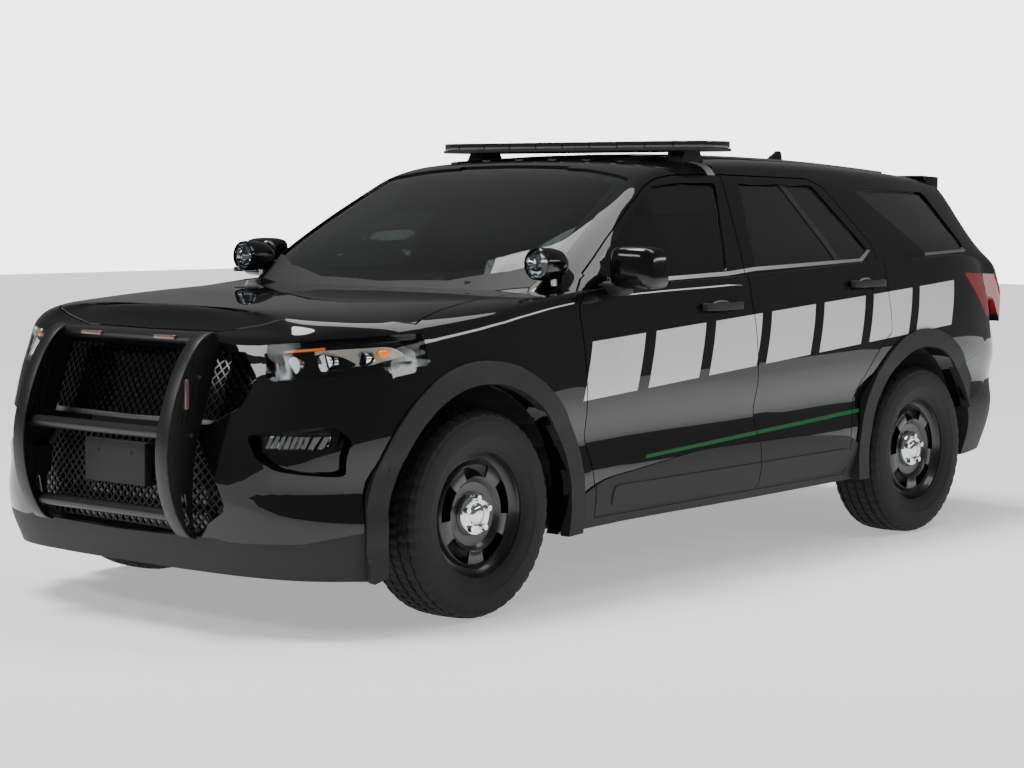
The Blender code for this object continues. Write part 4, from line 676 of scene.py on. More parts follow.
# Clear float glass that darkens the cabin and mirrors the studio.
screen_glass = finish("laminated_glass", "8C9894", 0.01, Transmission_Weight=1.0, IOR=1.45,
                      Coat_Weight=0.5, Coat_Roughness=0.01)
glass_face = even_solid("glass_face", 0.008, 0.23, 4)
glass_back = even_solid("glass_back", 0.013, 0.46, 2)
glass = cut(twin(glass_face), glass_back, True)
screen_line = both_sides(plan_line(SCREEN_FOOT + ((0.675, 0.405), (0.404, 0.4215), (0.0, 0.4264))))
windscreen = largest_body(below_cut(common(twin(glass), plan_prism(grown(screen_line, -TOUCH)))))
border = common(twin(glass), plan_prism(grown(screen_line, -0.004)))
cut(border, plan_prism(rounded(grown(screen_line, -BORDER_WIDTH), 0.06)))
border.data.transform(Matrix.Translation((0, 0, -0.006)))
show(below_cut(border), "windscreen_border", black_plastic, "body")
show(windscreen, "windscreen_glass", screen_glass, "body", ["windscreen"])

# Roof
# One pressed panel, stiffened by shallow ribs that run front to rear, with a woven headliner under
# it, glued to the inner steel.
RIB_PLACES = (-0.46, -0.276, -0.092, 0.092, 0.276, 0.46)
RIB_HALF = 0.03
RIB_FRONT = 1.42
RIB_REAR = 3.45


def prisms(outlines, axis, low, high):
    """Many such prisms in one piece."""
    shape = bmesh.new()
    for outline in outlines:
        add_prism(shape, outline, axis, low, high)
    return settle("cutter", shape)


def overlay(source, outlines, axis, low, high, lift, thickness, facing, least_reach=None):
    """A sheet that follows a panel inside some outlines and stands proud of it by the lift."""
    piece = common(twin(source), prisms(outlines, axis, low, high))
    shape = bmesh.new()
    shape.from_mesh(piece.data)
    facing = Vector(facing)
    spare = [face for face in shape.faces if face.normal.dot(facing) < 0.3]
    bmesh.ops.delete(shape, geom=spare, context="FACES")
    shape.normal_update()
    for vertex in shape.verts:
        vertex.co += vertex.normal * lift
        if least_reach:
            vertex.co.x = max(vertex.co.x, between(least_reach, vertex.co.y))
    shape.to_mesh(piece.data)
    shape.free()
    return apply_modifier(piece, "SOLIDIFY", thickness=thickness + lift, offset=-1)


roof_line = both_sides(plan_line((
    (0.0, 0.4330), (0.404, 0.4290), (0.606, 0.4215), (0.606, 1.206), (0.0, 1.206))))
roof = common(twin(shell), plan_prism(grown(roof_line, -TOUCH / 2)))
show(largest_body(below_cut(roof)), "roof_skin", paint, "body", ["roof_panel"])
rib_lines = []
for x in RIB_PLACES:
    rib_line = [(x - RIB_HALF, RIB_FRONT), (x + RIB_HALF, RIB_FRONT),
                (x + RIB_HALF, RIB_REAR), (x - RIB_HALF, RIB_REAR)]
    rib_lines.append(rounded(rib_line, 0.028))
ribs = overlay(outer, rib_lines, "Z", 1.4, PAST_TOP, 0.008, 0.002, (0, 0, 1))
show(ribs, "roof_ribs", paint, "body")
# Knitted polyester over foam, a soft warm grey without gloss.
fabric = finish("woven_headliner", "77746F", 0.95, grain_mm=1.5, depth=0.3)
headliner = cut(twin(inner), body_solid("liner_back", 0.089, 0.049, 0.059, 0.034, 0.46, 1))
common(headliner, block((-0.9, 1.30, 1.46), (0.9, 3.60, 1.8)))
show(headliner, "headliner", fabric, "body")

# Front bumper
# One moulded cover, clipped on ahead of the wheels. It is painted above, with bare grained plastic
# along its lower edge, and open for the grilles and the lower lamps.
HEADLAMP = (
    (0.612, 0.594), (0.636, 0.530), (0.667, 0.5216), (0.889, 0.534), (1.1, 0.575), (1.1, 0.622),
    (0.95, 0.6135),
)
GRILLE = (
    (0.0, 0.578), (0.525, 0.575), (0.606, 0.526), (0.566, 0.467), (0.444, 0.429), (0.0, 0.427),
)


def front_line(shares):
    return [(x * HALF_WIDTH, z * ROOF_HEIGHT) for x, z in shares]


def mirrored(piece):
    """A copy on the other side of the car."""
    copied = twin(piece)
    copied.data.transform(Matrix.Scale(-1, 4, (1, 0, 0)))
    copied.data.flip_normals()
    return copied


def cut_pair(piece, other):
    """Cuts a piece on the left and, by the cutter's mirror image, on the right."""
    cut(piece, mirrored(other))
    return cut(piece, other)


def front_prism(points, low_y, high_y):
    return prism(points, "Y", low_y, high_y)


def headlamp_block(extra):
    """The room of the left headlamp, widened by this much."""
    return front_prism(grown(headlamp_line, extra), PAST_FRONT, -0.089 * WHEELBASE + extra)


# Unpainted moulded polypropylene, dark grey, with a soft sheen over its grain.
cladding = finish("moulded_grey_cladding", "232323", 0.62, grain_mm=1.0, depth=0.3,
                  Specular_IOR_Level=0.3)
lamp_recess_line = rounded(front_line((
    (0.615, 0.413), (0.865, 0.4345), (0.905, 0.405),
    (0.885, 0.330), (0.73, 0.345), (0.66, 0.370))), 0.02)
lower_line = rounded(both_sides(front_line((
    (0.0, 0.405), (0.40, 0.405), (0.50, 0.33), (0.56, 0.262), (0.40, 0.200), (0.0, 0.196)))), 0.02)
bumper_line = side_line((
    (-0.4, 0.06), (-0.155, 0.06), (-0.155, 0.385), (-0.142, 0.467), (-0.109, 0.543),
    (-0.089, 0.57), (-0.089, 0.75), (-0.4, 0.75)))
bumper = common(twin(shell), whole_prism(grown(bumper_line, -TOUCH / 2)))
cut(bumper, plan_prism(grown(hood_line, GAP)))
headlamp_line = front_line(HEADLAMP)
cut_pair(bumper, headlamp_block(TOUCH))
grille_line = both_sides(front_line(GRILLE))
cut(bumper, front_prism(rounded(grille_line, 0.02), PAST_FRONT, 0))
recess_floor = even_solid("recess_floor", 0.045, 0.46, 2)
cut_pair(bumper, cut(front_prism(lamp_recess_line, PAST_FRONT, 0), recess_floor, True))
cut(bumper, cut(front_prism(lower_line, PAST_FRONT, 0), recess_floor, True))
largest_body(bumper)
bumper_cover = twin(bumper)
lip_line = [(1.2, 0.0), (1.2, 0.375), (0.93, 0.375), (0.80, 0.34), (0.56, 0.335), (0.50, 0.345)]
lip_line += [(-x, z) for x, z in reversed(lip_line)]
lip = common(twin(bumper), front_prism(lip_line, PAST_FRONT, 0.2))
cut(bumper, front_prism(lip_line, PAST_FRONT, 0.2))
show(bumper, "front_bumper_skin", paint, "body", ["front_bumper"])
show(lip, "front_bumper_lip", cladding, "body")

# Grilles
# Gloss black lattices of diamonds, clipped behind the openings of the bumper cover, with a satin
# strip along the lower edge of the upper one.
LATTICE_PITCH = 0.036
LATTICE_BAR = 0.008


def front_y(x, z):
    """Where the front of the body stands at this place across and this height."""
    plan = [(x_share * HALF_WIDTH, y_share * WHEELBASE) for x_share, y_share in PLAN[:7]]
    y = between(plan, abs(x))
    bottom = line_height(BOTTOM, y)
    share = (z - bottom) / (line_height(SHOULDER, y) - bottom)
    return y + HALF_WIDTH * between([(level, front) for level, side, front, rear in LEVELS], share)


def inside(points, place):
    """Whether a place lies within an outline."""
    result = False
    x, y = place
    for (ax, ay), (bx, by) in zip(points, points[1:] + points[:1]):
        if (ay > y) != (by > y) and x < (bx - ax) * (y - ay) / (by - ay) + ax:
            result = not result
    return result


def follow_front(piece, depth):
    """Bends a flat piece to stand this deep behind the front of the body."""
    for vertex in piece.data.vertices:
        vertex.co.y += front_y(vertex.co.x, vertex.co.z) + depth
    return piece


def lattice(outline, thickness, depth):
    """A plate with diamond holes that stands this deep behind the front of the body."""
    frame_line = grown(outline, -0.010)
    low = min(z for x, z in outline)
    high = max(z for x, z in outline)
    wide = max(x for x, z in outline)
    half = (LATTICE_PITCH - LATTICE_BAR) / 2
    rows = int((high - low) / LATTICE_PITCH * 2) + 2
    columns = int(wide / LATTICE_PITCH * 2) + 1
    holes = []
    for row in range(rows):
        for column in range(-columns, columns + 1):
            x = column * LATTICE_PITCH / 2
            z = low + row * LATTICE_PITCH / 2
            corners = [(x - half, z), (x, z + half), (x + half, z), (x, z - half)]
            if (row + column) % 2 == 0 and all(inside(frame_line, corner) for corner in corners):
                holes.append(corners)
    plate = prism(outline, "Y", 0, thickness)
    cut(plate, prisms(holes, "Y", -thickness, thickness * 2))
    return follow_front(plate, depth)


def front_plate(outline, thickness, depth):
    """A plate that follows the front of the body at this depth behind it."""
    return follow_front(prism(outline, "Y", 0, thickness), depth)


# Polished ABS, black with clear reflections.
gloss_plastic = finish("gloss_black_plastic", "0A0A0B", 0.12, grain_mm=3.0, depth=0.01)
# Satin plated trim, a soft light line without sharp reflections.
satin_metal = finish("satin_metal_trim", "A5A29C", 0.32, metallic=0.9, grain_mm=1.5, depth=0.05)
upper_grille = lattice(grown(rounded(grille_line, 0.02), 0.012), 0.010, 0.040)
show(upper_grille, "grille_lattice", gloss_plastic, "body", ["grille"])
lower_grille = lattice(lower_line, 0.006, 0.036)
show(lower_grille, "lower_grille_lattice", black_plastic, "body")
backing = front_plate(grown(grille_line, 0.02), 0.004, 0.058)
show(backing, "grille_backing", black_plastic, "body")
strip_line = both_sides(front_line((
    (0.0, 0.4335), (0.440, 0.4355), (0.560, 0.473), (0.566, 0.467), (0.444, 0.429), (0.0, 0.427))))
show(front_plate(strip_line, 0.014, 0.022), "grille_strip", satin_metal, "body")

# Plate bracket
# A blank moulded bracket of black plastic, fixed to the middle of the bumper cover by two screws
# under the upper grille.
BRACKET_HALF = 0.165


def soften(piece, width, segments=3, **limits):
    """Rounds the edges of a piece."""
    return apply_modifier(piece, "BEVEL", width=width, segments=segments, **limits)


bracket_y = front_y(0, 0.58)
bracket = block((-BRACKET_HALF, bracket_y - 0.006, 0.50), (BRACKET_HALF, bracket_y + 0.030, 0.655))
soften(bracket, 0.006, 3)
show(bracket, "plate_bracket", black_plastic, "body")
for index, x in enumerate((-0.09, 0.09)):
    screw = rod((x, bracket_y - 0.009, 0.615), (x, bracket_y, 0.615), 0.006, 16)
    show(screw, "plate_screw_%d" % index, black_plastic, "body")

# Headlamps
# A clear moulded lens over a black housing, with three chromed barrels round their modules, a
# metallised reflector behind them, an amber strip above and an amber side lamp.
# Place across, height and radius of each module
MODULES = ((0.700, 0.945, 0.030), (0.792, 0.955, 0.030), (0.865, 0.967, 0.024))


def show_pair(piece, name, material, body, replaced=(), angle=28):
    """The left piece and its mirror image; {} in a body's or a node's name stands for the hand."""
    for hand, half in (("right", mirrored(piece)), ("left", piece)):
        show(half, name + "_" + hand, material, body.format(hand),
             [node.format(hand) for node in replaced], angle)


def pebble(centre, half_size, crease=0.0):
    """A soft rounded block: a cube smoothed by subdivision."""
    bpy.ops.mesh.primitive_cube_add(size=2, calc_uvs=False, location=(0, 0, 0))
    piece = bpy.context.object
    piece.data.transform(Matrix.Translation(centre) @ Matrix.Diagonal((*half_size, 1)))
    creases = piece.data.attributes.new("crease_edge", "FLOAT", "EDGE")
    creases.data.foreach_set("value", [crease] * len(piece.data.edges))
    return apply_modifier(piece, "SUBSURF", levels=3, render_levels=3)


# Clear polycarbonate. Its refraction is kept low, because the lens is a thin shell.
clear_lens = finish("clear_lamp_lens", "F2F5F7", 0.02, Transmission_Weight=1.0, IOR=1.20)
# Chrome plate, bright, with the studio's lights in it.
chrome = finish("polished_chrome", "D8DADC", 0.06, metallic=1.0, grain_mm=2.0, depth=0.01)
# Amber polycarbonate with a painted glow: a faint orange emission makes the unlit lens look lit from
# within, standing in for the daylight it spreads inside.
amber_painted_glow = finish("amber_lens_painted_glow", "D9771F", 0.20, grain_mm=3.0, depth=0.05,
               Emission_Color=linear("FF8C2A"), Emission_Strength=0.25)
lens_back = even_solid("lens_back", 0.004, 0.23, 2)
headlamp = cut(common(twin(outer), headlamp_block(0)), lens_back, True)
cut(headlamp, plan_prism(grown(hood_line, GAP)))
mesh_face = even_solid("mesh_face", 0.028, 0.23, 2)
lamp_bowl = common(cut(twin(mesh_face), inner, True), headlamp_block(0))
cut(lamp_bowl, plan_prism(grown(hood_line, GAP)))
show_pair(largest_body(lamp_bowl), "headlamp_housing", gloss_plastic, "body")
# Vapour-metallised plastic, a warm silver that is bright but not sharp.
metallised = finish("vapour_metallised_reflector", "DDD3C6", 0.34, metallic=0.85, grain_mm=30.0,
                    depth=0.02)
reflector_line = rounded([
    (0.690, 0.924), (0.682, 0.984), (0.780, 0.997),
    (0.905, 1.007), (0.926, 0.975), (0.885, 0.946)], 0.012)
bezel_line = [
    (0.628, 0.985), (0.665, 0.915), (0.935, 0.945), (0.935, 0.957), (0.675, 0.930), (0.645, 0.985)]
amber_line = [
    (0.660, 0.986), (0.700, 0.990), (0.740, 0.994), (0.780, 0.998),
    (0.780, 1.007), (0.740, 1.003), (0.700, 0.999), (0.660, 0.995)]
# The amber strip here and the side lamp below both carry the amber lens's painted glow.
for name, outline, thickness, depth, material in (
    ("headlamp_reflector", reflector_line, 0.006, 0.020, metallised),
    ("headlamp_bezel", bezel_line, 0.012, 0.010, gloss_plastic),
    ("headlamp_strip", amber_line, 0.008, 0.007, amber_painted_glow),
):
    show_pair(front_plate(outline, thickness, depth), name, material, "body")
side_lamp = pebble((0.895, front_y(0.895, 0.985) + 0.028, 0.985), (0.026, 0.030, 0.016))
show_pair(side_lamp, "headlamp_side_lamp", amber_painted_glow, "body")
for index, (x, z, radius) in enumerate(MODULES):
    y = front_y(x, z) + 0.020
    ring = rod((x, y - 0.012, z), (x, y + 0.030, z), radius, 40)
    show_pair(ring, "headlamp_ring_%d" % index, chrome, "body")
    ball = pebble((x, y + 0.012, z), (radius, 0.016, radius))
    show_pair(ball, "headlamp_module_%d" % index, chrome, "body")
show_pair(largest_body(headlamp), "headlamp_lens", clear_lens, "body", ["headlamp_{}"])

# Lower lamps
# A row of slanted chromed cells in a gloss black back under a clear lens, set in the upper half of
# each recess of the bumper.
CELL_COUNT = 9
CELL_START = 0.664
CELL_PITCH = 0.019
lamp_line = rounded([
    (0.652, 0.650), (0.660, 0.702), (0.838, 0.722), (0.838, 0.672), (0.700, 0.655)], 0.008)
show_pair(front_plate(lamp_line, 0.004, 0.012), "lower_lamp_lens", clear_lens, "body")
lamp_back = front_plate(grown(lamp_line, 0.008), 0.010, 0.034)
show_pair(lamp_back, "lower_lamp_back", gloss_plastic, "body")
for index in range(CELL_COUNT):
    x = CELL_START + CELL_PITCH * index
    cell_line = [(x, 0.664), (x + 0.012, 0.666), (x + 0.020, 0.706), (x + 0.008, 0.704)]
    cell = front_plate(cell_line, 0.012, 0.018)
    show_pair(cell, "lower_lamp_cell_%d" % index, chrome, "body")

# Front fenders
# Pressed steel panels in the body's paint, bolted on between bumper, hood and door. They are shown
# after the trim that follows them has been cut.
FENDER = (
    (-0.089, 0.75), (-0.089, 0.57), (-0.109, 0.543), (-0.142, 0.467), (-0.155, 0.385),
    (-0.155, 0.2), (0.0, 0.2), (0.0, 0.09), (0.2165, 0.09), (0.2165, 0.180), (0.2056, 0.263),
    (0.188, 0.432), (0.188, 0.584), (0.1894, 0.654), (0.1894, 0.75),
)
FRONT_SHUT = (
    (0.2165, 0.180), (0.2056, 0.263), (0.188, 0.432), (0.188, 0.584), (0.1894, 0.654),
    (0.205, 0.678), (0.2314, 0.7214), (0.2975, 0.799), (0.3636, 0.870), (0.410, 0.918),
    (0.443, 0.937), (0.4826, 0.946),
)
PILLAR_SHUT = ((0.595, 0.949), (0.5587, 0.704), (0.5587, 0.420), (0.5736, 0.187))


def side_prism(points, low_x=0.30):
    """A cutter for the left side of the car, drawn in side view."""
    return prism(points, "X", low_x, PAST_SIDE)


fender_line = side_line(FENDER)
fender = common(twin(shell), side_prism(grown(fender_line, -TOUCH / 2)))
front_door_line = side_line(FRONT_SHUT + PILLAR_SHUT)
cut(fender, side_prism(grown(front_door_line, GAP)))
cut(fender, plan_prism(grown(hood_line, GAP)))
cut(fender, plan_prism(grown(cowl_line, 0)))
cut(fender, headlamp_block(TOUCH))
largest_body(fender)

# Body sides
# Pillars, rails, sills and quarter panels, pressed in one piece, with the fixed quarter glass.
TAILGATE = (
    (0.0, 1.1), (0.606, 1.1), (0.606, 0.934), (0.641, 0.87), (0.727, 0.725), (0.727, 0.672),
    (0.667, 0.55), (0.640, 0.468), (0.0, 0.466),
)
REAR_SHUT = ((0.810, 0.9416), (0.843, 0.920), (0.904, 0.777), (0.9074, 0.730), (0.9058, 0.560))
# How far the door skin laps over the body around its opening
DOOR_LAP = 0.030


def tailgate_block(extra):
    """The room of the tailgate, widened by this much."""
    return common(front_prism(grown(tailgate_line, extra), 3.5, PAST_REAR),
                  whole_prism(grown(tailgate_reach, extra)))


quarter_line = side_line(((0.9256, 0.916), (1.154, 0.910), (1.190, 0.7535), (1.0545, 0.7465)))
lamp_inner_x = 0.727 * HALF_WIDTH + SHUT_GAP
body_side = common(twin(shell), block((0.30, 0, -0.2), (PAST_SIDE, PAST_REAR, PAST_TOP)))
cut(body_side, side_prism(grown(fender_line, TOUCH / 2)))
for line in (hood_line, cowl_line):
    cut(body_side, plan_prism(grown(line, TOUCH)))
cut(body_side, plan_prism(screen_line))
cut(body_side, plan_prism(grown(roof_line, TOUCH / 2)))
tailgate_line = both_sides(front_line(TAILGATE))
tailgate_reach = side_line((
    (1.208, 1.1), (1.208, 0.945), (1.246, 0.80), (1.250, 0.66),
    (1.262, 0.40), (1.45, 0.40), (1.45, 1.1)))
cut(body_side, tailgate_block(GAP))
rear_bumper_line = side_line((
    (1.137, 0.09), (1.150, 0.385), (1.185, 0.467), (1.236, 0.543), (1.5, 0.543), (1.5, 0.09)))
cut(body_side, side_prism(grown(rear_bumper_line, TOUCH / 2)))
tail_lamp_line = side_line((
    (1.150, 0.690), (1.42, 0.668), (1.42, 0.566), (1.250, 0.562), (1.225, 0.564)))
cut(body_side, side_prism(grown(tail_lamp_line, TOUCH), lamp_inner_x - TOUCH))
cut(body_side, side_prism(grown(rounded(quarter_line, 0.02), TOUCH)))
pocket_floor = even_solid("pocket_floor", SKIN + SHUT_GAP, 0.46, 2)
rear_door_line = (
    side_line(tuple(reversed(PILLAR_SHUT)) + REAR_SHUT)
    + arc((WHEELBASE, AXLE_Z), 0.620, 118, 167, 14)
    + side_line(((0.7967, 0.263), (0.7934, 0.190)))
)
corner_line = plan_line(((0.0, 0.10), (0.868, 0.10), (0.868, 0.232), (0.0, 0.232)))
for line in (front_door_line, rear_door_line):
    pocket = cut(side_prism(grown(line, GAP)), pocket_floor, True)
    opening = side_prism(grown(line, -DOOR_LAP))
    for hole in (pocket, opening):
        if line == front_door_line:
            cut(hole, plan_prism(grown(corner_line, -GAP)))
        cut(body_side, hole)
largest_body(body_side)
# Toughened glass dyed nearly black, which hides the rear seats.
side_glass = finish("privacy_glass", "1B1D1E", 0.01, Transmission_Weight=0.75, IOR=1.45,
                    Coat_Weight=1.0, Coat_Roughness=0.01)
quarter = largest_body(common(twin(glass), side_prism(rounded(quarter_line, 0.02))))
show_pair(quarter, "quarter_pane", side_glass, "body", ["quarter_glass_{}"])

# Doors
# A painted skin over a box of inner steel, with privacy glass, a plastic pull handle in a shallow
# scoop and a moulded trim panel inside.
# Half of a pull handle from its middle forward: place across, place along from the middle
HANDLE_OUTER = ((0.999, 0.0), (0.996, 0.085), (0.985, 0.125), (0.960, 0.132))
HANDLE_INNER = ((0.955, 0.110), (0.978, 0.098), (0.984, 0.070), (0.986, 0.0))
# Toughened glass with a light grey-green tint, through which the front seats show faintly.
door_glass = finish("tinted_door_glass", "6C7672", 0.01, Transmission_Weight=1.0, IOR=1.45,
                    Coat_Weight=0.5, Coat_Roughness=0.01)
# Place, outline, window, place and height of the handle
door_rows = (
    ("front", front_door_line,
     ((0.2645, 0.704), (0.2645, 0.7477), (0.4274, 0.920),
      (0.496, 0.9276), (0.5736, 0.9276), (0.5207, 0.7155)),
     (1.466, 1.090)),
    ("rear", rear_door_line,
     ((0.5868, 0.724), (0.628, 0.9276), (0.813, 0.925), (0.8876, 0.759), (0.8595, 0.737)),
     (2.567, 1.155)),
)
belt_line = side_line(((0.0, 0.672), (1.1, 0.72), (1.1, 0.0), (0.0, 0.0)))
door_skins = {}
for place, line, window, (handle_y, handle_z) in door_rows:
    window_line = rounded(side_line(window), 0.02)
    door = common(twin(skin), side_prism(grown(line, -GAP)))
    for pillar_line in (screen_line, cowl_line):
        cut(door, plan_prism(grown(pillar_line, DOOR_LAP)))
    largest_body(door)
    box = common(side_prism(grown(line, -0.036)), side_prism(belt_line, 0))
    join(door, common(box, thick, True))
    if place == "front":
        cut(door, plan_prism(grown(corner_line, GAP)))
    cut(door, side_prism(window_line))
    scoop = pebble((0.965, handle_y, handle_z + 0.004), (0.030, 0.085, 0.034))
    cut(door, scoop)
    door_skins[place] = largest_body(door)
    pane = largest_body(common(twin(glass), side_prism(grown(window_line, -TOUCH))))
    pane_glass = door_glass if place == "front" else side_glass
    if place == "rear":
        bar_line = side_line(((0.728, 0.935), (0.742, 0.935), (0.808, 0.732), (0.794, 0.732)))
        bar = overlay(pane, [bar_line], "X", 0.3, PAST_SIDE, 0.004, 0.001, (1, 0, 0))
        show_pair(bar, "rear_door_window_bar", black_plastic, "rear_door_{}")
    show_pair(pane, place + "_door_pane", pane_glass, place + "_door_{}",
              [place + "_door_glass_{}"])
    card_line = [(y, z) for y, z in grown(line, -0.05) if z < 1.20]
    card = overlay(door, [card_line], "X", 0.3, PAST_SIDE, 0.004, 0.001, (-1, 0, 0))
    show_pair(card, place + "_door_card", fabric, place + "_door_{}")
    handle_line = [(x, handle_y - along) for x, along in reversed(HANDLE_OUTER)]
    handle_line += [(x, handle_y + along) for x, along in HANDLE_OUTER[1:] + HANDLE_INNER]
    handle_line += [(x, handle_y - along) for x, along in reversed(HANDLE_INNER[:-1])]
    handle = plan_prism(handle_line, handle_z - 0.016, handle_z + 0.014)
    soften(handle, 0.004, 3)
    show_pair(handle, place + "_door_handle", cladding, place + "_door_{}", angle=40)

# Arch and sill cladding
# Bare grained plastic mouldings, clipped over the painted panels round the wheel arches and along
# the sills, and split at the shut lines.


def on_panels(name, outlines, lift, thickness, material, wanted, least_reach=None):
    """Lays a trim over each wanted panel that it reaches, on both sides of the car."""
    for panel in wanted:
        source, body = panels[panel]
        piece = overlay(source, outlines, "X", 0.45, 1.3, lift, thickness, (1, 0, 0), least_reach)
        if len(piece.data.polygons) > 5:
            show_pair(piece, name + "_on_" + panel, material, body)
        else:
            drop(piece)


panels = {
    "fender": (fender, "body"), "front_door": (door_skins["front"], "front_door_{}"),
    "rear_door": (door_skins["rear"], "rear_door_{}"), "body_side": (body_side, "body"),
}
front_trim = arc((0, AXLE_Z), 0.556, -20, 200, 60) + arc((0, AXLE_Z), 0.474, 200, -20, 60)
rear_trim = arc((WHEELBASE, AXLE_Z), 0.556, -10, 200, 60)
rear_trim += arc((WHEELBASE, AXLE_Z), 0.474, 200, -10, 60)
sill_line = rounded([
    (0.50, 0.20), (0.50, 0.375), (0.66, 0.452), (1.296, 0.517), (2.05, 0.520), (2.46, 0.490),
    (2.62, 0.20)], 0.10)
sill_pad = rounded([(0.74, 0.345), (0.74, 0.425), (2.40, 0.440), (2.47, 0.36)], 0.03)
# The arch mouldings flare out to the car's full width all the way down.
flare = [(y * WHEELBASE, x * HALF_WIDTH + 0.006) for x, y in PLAN]
on_panels("front_arch_trim", [front_trim], 0.012, 0.030, cladding, ("fender",), flare)
on_panels("rear_arch_trim", [rear_trim], 0.012, 0.030, cladding, ("body_side",), flare)
on_panels("sill_cladding", [sill_line], 0.007, 0.002, cladding,
          ("fender", "front_door", "rear_door", "body_side"))
on_panels("sill_pad", [sill_pad], 0.011, 0.002, cladding, ("front_door", "rear_door"))
bumper_trim = overlay(bumper_cover, [front_trim], "X", 0.45, 1.3, 0.012, 0.030, (1, 0, 0), flare)
show_pair(bumper_trim, "bumper_arch_trim", cladding, "body")
drop(bumper_cover)

# Window trim
# Satin metal strips clipped along the lower edge of the side windows, one piece on each door and
# one under the quarter glass.
trim_line = side_line((
    (0.245, 0.6945), (0.2645, 0.7038), (0.5207, 0.7153), (0.5868, 0.7238), (0.8595, 0.7368),
    (0.8876, 0.7588), (0.8945, 0.7560), (0.8640, 0.7290), (0.5870, 0.7150), (0.5210, 0.7060)))
quarter_trim = side_line(((1.052, 0.7460), (1.192, 0.7532), (1.192, 0.7455), (1.052, 0.7380)))
on_panels("window_trim", [trim_line], 0.003, 0.001, satin_metal,
          ("front_door", "rear_door"))
on_panels("quarter_trim", [quarter_trim], 0.003, 0.001, satin_metal,
          ("body_side",))

# Livery
# Slanted blocks of silver reflective film stuck along both sides, over a thin green stripe. Film
# and stripe are cut at every shut line.
BLOCK_COUNT = 7
BLOCK_START = 0.545
BLOCK_PITCH = 0.400
BLOCK_LENGTH = 0.330
BLOCK_LEAN = 0.075
BLOCK_FOOT = [(0.50, 0.758), (3.36, 0.952)]
BLOCK_HEAD = [(0.50, 0.975), (3.36, 1.150)]


def slanted_block(start):
    """The outline of one block that starts at this place along the car."""
    end = start + BLOCK_LENGTH
    return [(start, between(BLOCK_FOOT, start)),
            (end, between(BLOCK_FOOT, end)),
            (end + BLOCK_LEAN, between(BLOCK_HEAD, end + BLOCK_LEAN)),
            (start + BLOCK_LEAN, between(BLOCK_HEAD, start + BLOCK_LEAN))]


# Silver retroreflective film, a pale satin grey.
silver_film = finish("silver_reflective_film", "D2D3D5", 0.42, metallic=0.25, grain_mm=2.0,
                     depth=0.02)
# Dark green film with a gloss like the paint's.
green_film = finish("green_film", "0E5A32", 0.30, grain_mm=2.0, depth=0.02)
blocks = [slanted_block(BLOCK_START + BLOCK_PITCH * index) for index in range(BLOCK_COUNT)]
on_panels("silver_block", blocks, 0.0006, 0.0002, silver_film,
          ("fender", "front_door", "rear_door", "body_side"))
stripe = [(0.94, 0.512), (2.50, 0.590), (2.50, 0.606), (0.955, 0.526)]
tail_stripe = [(3.42, 0.742), (3.62, 0.790), (3.62, 0.806), (3.42, 0.758)]
on_panels("green_stripe", [stripe, tail_stripe], 0.0006, 0.0002, green_film,
          ("front_door", "rear_door", "body_side"))
show_pair(fender, "front_fender_skin", paint, "body", ["front_fender_{}"])
show_pair(body_side, "body_side_skin", paint, "body", ["body_side_{}"])
for place, door in door_skins.items():
    show_pair(door, place + "_door_skin", paint, place + "_door_{}", [place + "_door_{}"])

# Tailgate
# A painted steel lid with bonded glass, hinged at the roof. It carries a blank plate bracket and a
# moulded handle bar, both clipped to its skin.
tailgate_window = rounded(both_sides(front_line(
    ((0.0, 0.905), (0.52, 0.890), (0.60, 0.735), (0.56, 0.715), (0.0, 0.712)))), 0.03)
tailgate = common(twin(shell), tailgate_block(-GAP))
cut(tailgate, front_prism(tailgate_window, 3.6, PAST_REAR))
largest_body(tailgate)
for name, half_width, low, high, proud, material in (
    ("tailgate_plate_bracket", 0.165, 0.800, 0.915, 0.005, black_plastic),
    ("tailgate_handle_bar", 0.235, 0.932, 0.958, 0.014, gloss_plastic),
):
    fitting_line = [(-half_width, low), (half_width, low), (half_width, high), (-half_width, high)]
    fitting_line = rounded(fitting_line, 0.012)
    fitting = overlay(tailgate, [fitting_line], "Y", 3.6, PAST_REAR, proud, 0.001, (0, 1, 0))
    show(fitting, name, material, "tailgate")
show(tailgate, "tailgate_skin", paint, "tailgate", ["tailgate"])
pane = common(twin(glass), front_prism(grown(tailgate_window, -TOUCH), 3.6, PAST_REAR))
largest_body(pane)
show(pane, "tailgate_pane", side_glass, "tailgate", ["tailgate_glass"])

# Rear bumper
# One moulded cover, clipped between the body sides below the tailgate. It is painted above and
# bare below.
rear_bumper = common(twin(shell), whole_prism(grown(rear_bumper_line, -TOUCH / 2)))
cut(rear_bumper, tailgate_block(GAP))
largest_body(rear_bumper)
rear_low = [
    (3.2, 0.0), (PAST_REAR, 0.0), (PAST_REAR, 0.66), (3.75, 0.66), (3.60, 0.60), (3.2, 0.52)]
rear_lip = common(twin(rear_bumper), whole_prism(rear_low))
cut(rear_bumper, whole_prism(rear_low))
show(rear_lip, "rear_bumper_lip", cladding, "body", ["rear_bumper"])
show(rear_bumper, "rear_bumper_skin", paint, "body")

# Tail lamps
# A moulded red lens at each rear corner, bonded to its housing and let into the body side with an
# even gap.
# Dyed polycarbonate, deep red with sharp reflections.
red_lens = finish("red_lamp_lens", "8E0A0E", 0.06, grain_mm=4.0, depth=0.02,
                  Coat_Weight=1.0, Coat_Roughness=0.02)
tail_lamp = common(twin(shell), side_prism(rounded(tail_lamp_line, 0.02), lamp_inner_x))
cut(tail_lamp, tailgate_block(GAP))
show_pair(largest_body(tail_lamp), "tail_lens", red_lens, "body", ["tail_lamp_{}"])

